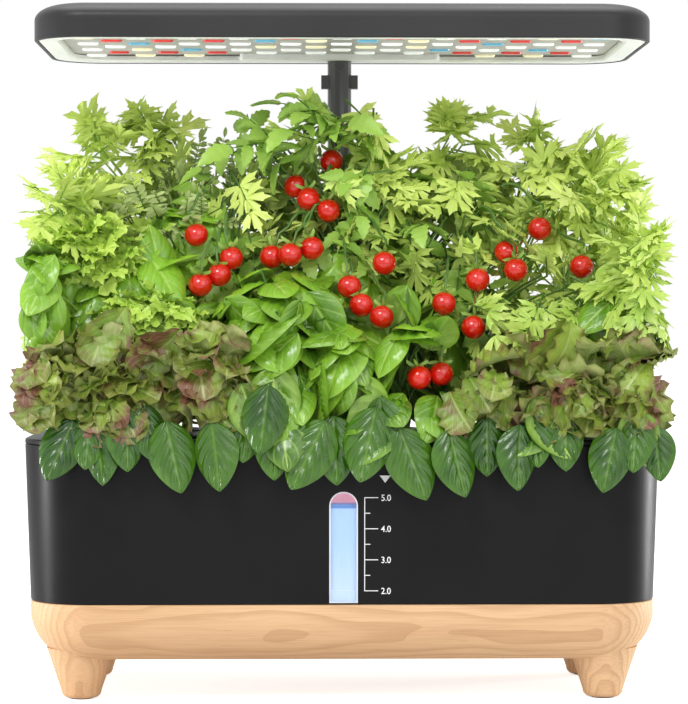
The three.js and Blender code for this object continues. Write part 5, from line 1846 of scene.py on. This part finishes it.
    def compound(self, place: Vector, ahead: Vector, up: Vector) -> None:
        """Grow a leaf of several leaflets on one stalk.

        Args:
            place: Its middle, in metres.
            ahead: The way it runs.
            up: The way its upper side faces.
        """
        kind, rng = self.kind, self.rng
        light_and_tone, spray = self.light_and_tone(place), kind.spray * rng.uniform(0.8, 1.15) * self.scale * MM
        base = place - ahead * spray * 0.55
        side = ahead.cross(up)
        sag = Vector((0, 0, -0.12 * spray))
        placed, count = 0, kind.leaflets
        for k in range(count):
            pair, hand = (k + 1) // 2, 1 if k % 2 else -1
            share = 1.0 - 0.58 * pair / max(1, (count - 1) // 2)
            spot = base + ahead * spray * max(0.15, share) + sag * share ** 2
            way = ahead if k == 0 else ahead * 0.45 + side * hand * 0.9
            length = rng.uniform(kind.short, kind.long) * self.scale * MM * (1.0 if k == 0 else 0.85)
            way = way + Vector((0, 0, rng.uniform(-0.35, 0.05)))
            tilt = up + side * rng.uniform(-0.3, 0.3)
            curl = kind.curl * rng.uniform(0.4, 1.3)
            placed += self.leaf(spot, way, tilt, length, curl, light_and_tone + rng.uniform(-0.1, 0.1))
        if placed > count // 2:
            path = [base + ahead * spray * t + sag * t ** 2 for t in (0, 0.35, 0.7, 1.0)]
            if self.twig(path, [kind.stalk * s for s in (0.9, 0.75, 0.6, 0.4)]) and rng.random() < kind.stems:
                self.stem(base, kind.stalk)

    def fringe(self, leaves: Sequence[Hanging]) -> None:
        """Hang leaves over the front edge of the tank."""
        self.kind, rng = self.kinds["hanging_basil"], self.rng
        for leaf in leaves:
            length = leaf.length * MM
            ahead = Vector((leaf.lean, -0.06, -1)).normalized()
            tip = Vector((leaf.x, -self.front - leaf.out, leaf.z)) * MM
            # Painted shade: the hanging leaves only get the darkest tones.
            base, light_and_tone = tip - ahead * length * 0.99, rng.uniform(0.0, 0.4)
            for turn in (0.4, 0.2, 0.0):
                up = Vector((rng.uniform(-turn, turn), -1, 0.2))
                if self.leaf(base, ahead, up, length, rng.uniform(-0.25, 0.0), light_and_tone):
                    self.stem(base, 1.1, 0.1)
                    break
            else:
                log.warning("no room for the hanging leaf at %.0f", leaf.x)

    def main_stems(self) -> None:
        """The few thick stems that rise from the pod."""
        for _ in range(5):
            angle, reach = self.rng.uniform(0, TURN), self.rng.uniform(0.3, 0.8)
            east, north = math.cos(angle), math.sin(angle)
            half_x, half_y = (self.high.x - self.low.x) / 4, (self.high.y - self.low.y) / 4
            top = Vector((self.axis.x + east * half_x * reach, self.axis.y + north * half_y * reach,
                          self.low.z + (self.high.z - self.low.z) * self.rng.uniform(0.5, 0.75)))
            out = Vector((east, north, 0)) * 0.004
            self.twig(arc_path(self.axis + out, top, out, 7), [1.7 - 0.12 * i for i in range(8)], 7, 2)

    def finish(self, skins: dict[str, Material], stem_skin: Material) -> None:
        """Make the objects and let them ride on the deck.

        Args:
            skins: Material of each kind of leaf.
            stem_skin: Material of the stems.
        """
        number, main = self.bed.pod, self.bed.mixes[0].kind
        for name, batch in self.batches.items():
            piece = batch.piece(f"{name}_foliage_{number:02d}", skins[name], 80)
            keep(piece, "deck", self.kinds[name].slot, *([self.bed.node] if name == main else []))
            log.info("%s: %d faces", piece.name, len(piece.data.polygons))
        stems = self.stems.piece(f"plant_stems_{number:02d}", stem_skin, 60)
        keep(stems, "deck", self.kinds[main].slot)


@dataclass
class Tomatoes:
    """The fruits with their calyxes and trusses."""

    fruits: Sequence[Fruit]
    centres: Sequence[Spot]

    def build(self, stem_material: Material, calyx_material: Material) -> None:
        """Build the fruits of each tomato plant."""
        red = TomatoSkin().material()
        for pod in (6, 7, 8):
            rng = random.Random(SEED * 10 + pod)
            flesh, green, stalks = Batch(), Batch(), Batch()
            for fruit in [fruit for fruit in self.fruits if fruit.pod == pod]:
                tilt = Vector((rng.uniform(-0.35, 0.35), rng.uniform(-0.1, 0.35), 1)).normalized()
                self.fruit(flesh, fruit, tilt)
                top = fruit.centre + tilt * fruit.radius * 0.93 * MM
                self.calyx(green, top, tilt, rng)
                x, y = self.centres[pod - 1]
                knee = top + tilt * 0.008
                hub = Vector((x * MM, y * MM, fruit.z * MM + 0.022)).lerp(knee + Vector((0, 0, 0.016)), 0.55)
                path = [top, knee] + arc_path(knee + (hub - knee) * 0.3, hub, Vector((0, 0, 0.004)), 4)
                points, faces = tube(path, [0.7 * MM] + [0.8 * MM] * 2 + [1.0 * MM] * (len(path) - 3), 6)
                stalks.add(points, faces)
            for batch, part, finish in ((flesh, "fruits", red), (green, "calyxes", calyx_material),
                                        (stalks, "trusses", stem_material)):
                keep(batch.piece(f"tomato_{part}_{pod:02d}", finish, 60), "deck", "tomato_leaf")

    def fruit(self, batch: Batch, fruit: Fruit, tilt: Vector) -> None:
        """A slightly flattened ball with a dimple at the stalk."""
        rows, columns = 14, 22
        first = tilt.orthogonal().normalized()
        second = tilt.cross(first)
        points, marks = [], []
        for i in range(rows + 1):
            polar = math.pi * min(max(i / rows, 0.015), 0.985)
            dimple = 1 - 0.1 * math.exp(-(polar / 0.28) ** 2)
            for k in range(columns):
                around = 2 * math.pi * k / columns
                side, up = math.sin(polar), math.cos(polar) * 0.97 * dimple
                out = (first * math.cos(around) + second * math.sin(around)) * side + tilt * up
                points.append(fruit.centre + out * fruit.radius * MM)
                marks.append((0.0, 1 - i / rows, 0.5))
        faces = []
        for ring in range(0, rows * columns, columns):
            for k in range(columns):
                after = (k + 1) % columns
                faces.append((ring + k, ring + columns + k, ring + columns + after, ring + after))
        for ring, order in ((0, 1), (rows, -1)):
            start = ring * columns
            for k in range(1, columns - 1):
                corners = (start, start + k, start + k + 1)[::order]
                faces.append((*corners, -1))
        batch.add(np.array([tuple(p) for p in points]), np.array(faces), np.array(marks))

    def calyx(self, batch: Batch, top: Vector, tilt: Vector, rng: random.Random) -> None:
        """Five thin sepals that curl back over the fruit."""
        form = LeafForm(wide=0.26, belly=0.3, blunt=0.7, cup=0.1, pucker=0.0, rows=6, columns=2, thick=0.0005)
        first = tilt.orthogonal().normalized()
        for k in range(5):
            angle = 2 * math.pi * (k + rng.uniform(-0.15, 0.15)) / 5
            out = first.copy()
            out.rotate(Matrix.Rotation(angle, 3, tilt))
            points, marks, below, faces = form.shape(rng.uniform(7, 9.5) * MM, rng.uniform(-1.1, 0.9), rng)
            ahead = (out + tilt * 0.35).normalized()
            up = (tilt - ahead * tilt.dot(ahead)).normalized()
            turn = np.array([ahead.cross(up), ahead, up])
            tones = np.full((len(points), 1), 0.6)
            batch.add(points @ turn + np.array(top), faces, np.hstack([marks, tones]), below)


@dataclass
class Garden:
    """The thirteen plants."""

    pods: Pods

    fruits: tuple[Fruit, ...] = tuple(Fruit(*row) for row in (
        (7, -6, 0, 320), (7, -28, -8, 304), (7, -20, -16, 296), (7, -8, -18, 289),
        (6, -87, -28, 274), (6, -73, -40, 250), (6, -66, -36, 260), (6, -84, -46, 244),
        (7, -42, -30, 261), (7, -31, -38, 262), (7, -18, -32, 266), (7, 25, -38, 257),
        (7, 4, -46, 243), (7, 11, -52, 232), (7, 23, -56, 225), (8, 44, -78, 190),
        (8, 57, -72, 192), (8, 60, -48, 233), (8, 77, -54, 219), (8, 80, -46, 247),
        (8, 119, -22, 278), (8, 98, -34, 264), (8, 103, -42, 253), (8, 143, -34, 255),
    ))

    hanging: tuple[Hanging, ...] = tuple(Hanging(*row) for row in (
        (1, -170, 132, 38, -0.45), (1, -148, 138, 34, -0.1), (1, -138, 129, 36, 0.1),
        (1, -124, 137, 36, 0.0, 3), (1, -108, 142, 34, 0.2), (2, -93, 125, 42, 0.22, 4),
        (2, -71, 126, 40, 0.12, 6), (2, -58, 142, 36, -0.1, 1), (2, -48, 147, 40, -0.12, 9),
        (2, -40, 132, 34, 0.0, 2), (2, -30, 127, 44, -0.5, 5), (3, -4, 129, 40, 0.05),
        (3, 9, 131, 44, -0.22, 5), (3, 24, 144, 36, 0.1, 1), (3, 47, 121, 44, 0.38, 6),
        (3, 68, 122, 40, 0.2, 4), (3, 82, 134, 34, 0.0), (4, 98, 126, 38, -0.08, 5),
        (4, 112, 139, 34, 0.15), (4, 127, 137, 34, 0.0, 2), (4, 148, 125, 38, -0.22, 5),
        (4, 166, 136, 34, -0.05, 2), (4, 182, 131, 32, 0.12),
    ))

    def kinds(self) -> dict[str, Species]:
        """Every kind of leaf, by name."""
        basil = LeafForm(wide=0.68, belly=0.42, blunt=0.7, cup=-0.22, pucker=0.06, veins=4, slant=0.4, rows=16,
                         columns=10)
        hanging = LeafForm(wide=0.66, belly=0.42, blunt=0.7, cup=-0.3, pucker=0.06, veins=5, slant=0.5, rows=30,
                           columns=20)
        lettuce = LeafForm(wide=0.85, belly=0.6, blunt=0.5, cup=0.3, pucker=0.03, ruffle=0.085, waves=4, tooth=0.16,
                           teeth=8, veins=6, slant=0.6, rows=14, columns=10)
        butter = LeafForm(wide=0.9, belly=0.55, blunt=0.55, cup=0.25, pucker=0.04, ruffle=0.06, waves=4, veins=5,
                          slant=0.5, rows=14, columns=12)
        cress = LeafForm(Form.FAN, cup=0.25, pucker=0.05, ruffle=0.16, waves=3.5, lobes=5, lobe_depth=0.45,
                         tooth=0.12, teeth=9, spread=1.7, rows=3, columns=12, veins=3)
        herb = LeafForm(wide=0.42, belly=0.5, blunt=0.8, cup=0.1, pucker=0.0, rows=4, columns=2, veins=2)
        tomato = LeafForm(wide=0.56, belly=0.36, blunt=0.8, cup=0.15, pucker=0.035, tooth=0.36, teeth=5, veins=5,
                          slant=0.3, rows=15, columns=4)
        celery = LeafForm(Form.FAN, cup=0.2, pucker=0.03, ruffle=0.04, waves=2.5, lobes=3, lobe_depth=0.62,
                          tooth=0.13, teeth=9, spread=1.15, rows=3, columns=18, veins=4, point=0.9)
        found = (
            Species("basil", "basil_leaf", basil,
                    LeafSkin("basil_leaf", paint(26, 80, 12), paint(146, 200, 52), paint(196, 228, 124),
                             paint(166, 206, 70), 0.2, 4, 0.4, 0.5, 0.24), short=32, long=48, lift=0.2),
            # The hanging basil's skin is a darker copy of the basil's: painted shade on the leaves that hang below the
            # crowns.
            Species("hanging_basil", "basil_leaf", hanging,
                    LeafSkin("hanging_basil_leaf_painted_shade", paint(22, 66, 10), paint(86, 136, 26), paint(128, 174, 56),
                             paint(98, 148, 34), 0.2, 5, 0.5, 0.3, 0.18), short=32, long=48, lift=0.2),
            Species("lettuce", "lettuce_leaf", lettuce,
                    LeafSkin("lettuce_leaf", paint(92, 132, 30), paint(176, 200, 82), paint(214, 222, 156),
                             paint(120, 84, 62), 0.45, 6, 0.6, 0.4, 0.4, blotch=paint(124, 82, 62)),
                    short=25, long=38, curl=1.1, lift=0.5, scatter=1.2, stems=0.3, stalk=1.3),
            Species("butterhead", "lettuce_leaf", butter,
                    LeafSkin("butter_leaf", paint(140, 186, 70), paint(206, 226, 130), paint(232, 240, 180),
                             paint(210, 226, 140), 0.2, 5, 0.5, 0.5, 0.42), short=26, long=38, lift=0.5),
            Species("cress", "cress_leaf", cress,
                    LeafSkin("cress_leaf", paint(130, 180, 52), paint(202, 230, 98), paint(200, 226, 118),
                             paint(192, 222, 98), 0.3, 3, 0.2, 0.25, 0.42),
                    5, 7.0, 10.5, 19.0, 0.5, 0.35, 1.6, stalk=0.5, stems=0.3),
            Species("herb", "cress_leaf", herb,
                    LeafSkin("herb_leaf", paint(124, 152, 84), paint(186, 206, 126), paint(206, 216, 160),
                             paint(196, 210, 140), 0.2, 2, 0.2, 0.2, 0.5),
                    11, 6.5, 9.5, 34.0, 0.3, 0.7, 1.4, stalk=0.45, stems=0.25),
            Species("tomato", "tomato_leaf", tomato,
                    LeafSkin("tomato_leaf", paint(76, 126, 38), paint(162, 202, 84), paint(166, 200, 104),
                             paint(146, 188, 80), 0.2, 5, 0.3, 0.5, 0.42),
                    5, 17.0, 26.0, 44.0, 0.9, 0.3, 0.9, stalk=0.8, stems=0.5),
            Species("celery", "celery_leaf", celery,
                    LeafSkin("celery_leaf", paint(138, 186, 58), paint(214, 234, 118), paint(216, 236, 142),
                             paint(210, 230, 116), 0.25, 4, 0.3, 0.4, 0.4),
                    5, 12.5, 19.0, 30.0, 0.5, 0.45, 1.2, stalk=0.8, stems=0.4, upright=0.7),
        )
        return {kind.name: kind for kind in found}

    def beds(self) -> tuple[Bed, ...]:
        """What grows in every pod."""
        rows = (
            (1, "lettuce_plant_1", "light", (("lettuce", 62), ("basil", 10, 0.0, 0.5))),
            (2, "basil_plant_1", "dark", (("basil", 100),)),
            (3, "basil_plant_2", "dark", (("basil", 100),)),
            (4, "lettuce_plant_2", "light", (("lettuce", 62), ("basil", 10, 0.0, 0.5))),
            (5, "cress_plant_1", "light", (("cress", 130), ("basil", 46, 0.0, 0.8), ("celery", 24, 0.5))),
            (6, "tomato_plant_1", "dark", (("tomato", 20, 0.45), ("basil", 34, 0.0, 0.7), ("celery", 22, 0.3))),
            (7, "tomato_plant_2", "dark", (("tomato", 26, 0.4), ("basil", 42, 0.0, 0.6), ("celery", 22, 0.2))),
            (8, "tomato_plant_3", "dark", (("tomato", 20, 0.45), ("basil", 26, 0.0, 0.6), ("celery", 30, 0.2))),
            (9, "celery_plant_1", "light", (("celery", 84), ("basil", 18, 0.0, 0.6))),
            (10, "celery_plant_2", "light", (("celery", 70), ("basil", 20, 0.3, 0.8), ("herb", 20, 0.5))),
            (11, "cress_plant_2", "light", (("herb", 120), ("celery", 20, 0.3), ("basil", 16, 0.4))),
            (12, "tall_basil_plant_1", "light", (("basil", 50), ("celery", 36, 0.4), ("butterhead", 14, 0.5))),
            (13, "celery_plant_3", "light", (("celery", 84),)),
        )
        return tuple(Bed(pod, node, stem, tuple(Mix(*mix) for mix in mixes))
                     for pod, node, stem, mixes in rows)

    def clumps(self) -> tuple[Clump, ...]:
        """The masses that fill the rows between the crowns."""
        rows = (
            (1, "lettuce", (-172, -84, 186), (20, 16, 26), 34),
            (1, "lettuce", (-132, -90, 178), (22, 12, 24), 30),
            (1, "lettuce", (-74, -88, 186), (22, 14, 26), 34),
            (4, "lettuce", (172, -84, 186), (20, 16, 26), 34),
            (4, "lettuce", (130, -90, 178), (22, 12, 24), 30),
            (4, "lettuce", (78, -88, 182), (22, 14, 24), 30),
            (5, "basil", (-110, -38, 232), (62, 24, 30), 46),
            (5, "cress", (-150, -44, 262), (22, 16, 18), 46),
            (5, "cress", (-112, -60, 222), (26, 12, 16), 46),
            (5, "basil", (-176, -60, 236), (12, 30, 34), 22, 0.8),
            (5, "celery", (-172, -40, 292), (18, 22, 16), 12),
            (2, "basil", (-40, -52, 236), (34, 24, 20), 20),
            (3, "basil", (0, -78, 190), (22, 16, 34), 20),
            (3, "basil", (38, -74, 196), (20, 16, 30), 18),
            (3, "basil", (66, -60, 222), (26, 20, 18), 14),
            (6, "herb", (-110, 0, 282), (40, 26, 18), 36),
            (6, "basil", (-96, -4, 276), (30, 20, 18), 14),
            (7, "butterhead", (-20, 30, 292), (34, 24, 24), 14),
            (7, "tomato", (-14, -6, 338), (12, 12, 20), 8),
            (7, "tomato", (-48, -4, 328), (18, 12, 12), 7),
            (7, "celery", (20, -6, 292), (26, 18, 24), 16),
            (8, "celery", (110, -40, 232), (50, 26, 34), 40),
            (9, "celery", (176, -66, 244), (14, 28, 36), 28),
            (9, "basil", (160, -60, 226), (24, 24, 24), 12),
            (10, "herb", (-88, 36, 310), (36, 22, 18), 30),
            (10, "celery", (-165, 10, 290), (24, 40, 18), 16),
            (10, "celery", (-118, 30, 332), (14, 14, 22), 14),
            (10, "celery", (-152, 20, 324), (10, 12, 20), 9),
            (12, "butterhead", (70, 40, 294), (40, 24, 24), 20),
            (12, "celery", (72, 30, 334), (18, 14, 22), 16),
            (13, "celery", (150, 20, 296), (40, 40, 26), 30),
            (13, "celery", (126, 30, 326), (20, 16, 20), 12),
        )
        return tuple(Clump(*row) for row in rows)

    def build(self) -> None:
        """Grow all plants and hang the fruits."""
        centres, kinds = self.pods.centres(), self.kinds()
        skins = {name: kind.skin.material() for name, kind in kinds.items()}
        stems = {"dark": StemSkin("dark_stem", paint(62, 100, 38), paint(104, 142, 60)).material(),
                 "light": StemSkin("light_stem", paint(122, 164, 64), paint(176, 206, 108)).material()}
        for bed in self.beds():
            plant = Plant(bed, kinds, centres[bed.pod - 1], self.fruits)
            plant.grow([clump for clump in self.clumps() if clump.pod == bed.pod])
            plant.fringe([leaf for leaf in self.hanging if leaf.pod == bed.pod])
            plant.finish(skins, stems[bed.stem])
        Tomatoes(self.fruits, centres).build(stems["dark"], skins["tomato"])


# Camera, light and floor ------------------------------------------------------------------


@dataclass
class Studio:
    """White studio with soft light, and the camera at the front."""

    eye: Vec = (-0.026, -1.586, 0.2285)
    lens: float = 133.1
    turn: float = 1.0005
    tilt: float = 0.9
    white: float = 1.0
    soft: float = 0.56
    floor_half: float = 12.0
    floor_glow: float = 0.74
    lamps: tuple[tuple[str, Vec, Vec, Spot, float], ...] = (
        ("key", (-0.7, -1.5, 1.5), (0.0, 0.0, 0.2), (0.8, 0.6), 18.0),
        ("fill", (0.8, -1.6, 0.9), (0.0, 0.0, 0.2), (1.3, 1.2), 8.0),
        ("top", (0.0, 0.2, 1.5), (0.0, 0.0, 0.2), (1.4, 1.0), 14.0),
        ("left_strip", (-0.9, -0.1, 0.1), (0.0, -0.05, 0.1), (0.1, 0.3), 4.0),
        ("right_strip", (0.85, 0.3, 0.1), (0.0, -0.05, 0.1), (0.1, 0.3), 4.0),
    )

    def build(self) -> None:
        """Build camera, lamps, world and floor."""
        self.build_camera()
        for name, place, target, size, power in self.lamps:
            data = bpy.data.lights.new(name, "AREA")
            data.shape, data.size, data.size_y, data.energy = "RECTANGLE", size[0], size[1], power
            lamp = bpy.data.objects.new(name, data)
            lamp.location = place
            lamp.rotation_euler = (Vector(target) - Vector(place)).to_track_quat("-Z", "Y").to_euler()
            bpy.context.scene.collection.objects.link(lamp)
        self.build_world()
        self.build_floor()
        bpy.context.scene.view_settings.view_transform = "Standard"

    def build_camera(self) -> None:
        """The camera, at the eye of the viewer."""
        data = bpy.data.cameras.new("camera")
        data.lens, data.sensor_width = self.lens, 36.0
        data.clip_start, data.clip_end = 0.05, 50.0
        camera = bpy.data.objects.new("camera", data)
        camera.location = self.eye
        camera.rotation_euler = (math.radians(90 - self.tilt), 0, math.radians(-self.turn))
        bpy.context.scene.collection.objects.link(camera)
        bpy.context.scene.camera = camera

    def build_world(self) -> None:
        """White where it is seen or mirrored, softer as light."""
        world = bpy.data.worlds.new("studio")
        bpy.context.scene.world = world
        world.use_nodes = True
        nodes, links = world.node_tree.nodes, world.node_tree.links
        nodes.clear()
        path = nodes.new("ShaderNodeLightPath")
        rays = [path.outputs[f"Is {ray} Ray"] for ray in ("Camera", "Glossy", "Transmission")]
        mix = nodes.new("ShaderNodeMixShader")
        links.new(self.any_of(nodes, links, rays), mix.inputs[0])
        for strength, socket in ((self.soft, mix.inputs[1]), (self.white, mix.inputs[2])):
            light = nodes.new("ShaderNodeBackground")
            light.inputs["Color"].default_value = WHITE
            light.inputs["Strength"].default_value = strength
            links.new(light.outputs[0], socket)
        links.new(mix.outputs[0], nodes.new("ShaderNodeOutputWorld").inputs["Surface"])

    def any_of(self, nodes: bpy.types.Nodes, links: bpy.types.NodeLinks,
               rays: Sequence[Socket]) -> Socket:
        """1 where any of the rays is."""
        result = rays[0]
        for ray in rays[1:]:
            step = nodes.new("ShaderNodeMath")
            step.operation = "MAXIMUM"
            links.new(result, step.inputs[0])
            links.new(ray, step.inputs[1])
            result = step.outputs[0]
        return result

    def build_floor(self) -> None:
        """A pale floor that keeps the garden's soft shadow."""
        sheet = NodeSheet("studio_floor", Base_Color=(0.86, 0.86, 0.86, 1), Roughness=0.9, Specular_IOR_Level=0.0,
                          Emission_Color=(1, 1, 1, 1))
        path = sheet.add("ShaderNodeLightPath")
        sheet.to_shader("Emission Strength", sheet.sums("MULTIPLY", path.outputs["Is Camera Ray"], self.floor_glow))
        mesh, half = bpy.data.meshes.new("floor"), self.floor_half
        corners = [(-half, -half, 0), (half, -half, 0), (half, half, 0), (-half, half, 0)]
        mesh.from_pydata(corners, [], [(0, 1, 2, 3)])
        mesh.materials.append(sheet.material)
        floor = bpy.data.objects.new("floor", mesh)
        bpy.context.scene.collection.objects.link(floor)


def main() -> None:
    """Dress the garden and set up its studio."""
    logging.basicConfig(level=logging.INFO, format="%(name)s: %(message)s")
    body, pods = Body(), Pods()
    builders: tuple[tuple[str, Callable[[], None]], ...] = (
        ("base", WoodBase(body).build),
        ("tank", Tank(body).build),
        ("deck", Deck(body, pods).build),
        ("lamp", Lamp().build),
        ("kept nodes", KeptNodes().dress),
        ("plants", Garden(pods).build),
        ("studio", Studio().build),
    )
    for name, build in builders:
        build()
        log.info("built the %s", name)
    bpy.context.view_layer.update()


if __name__ == "__main__":
    main()
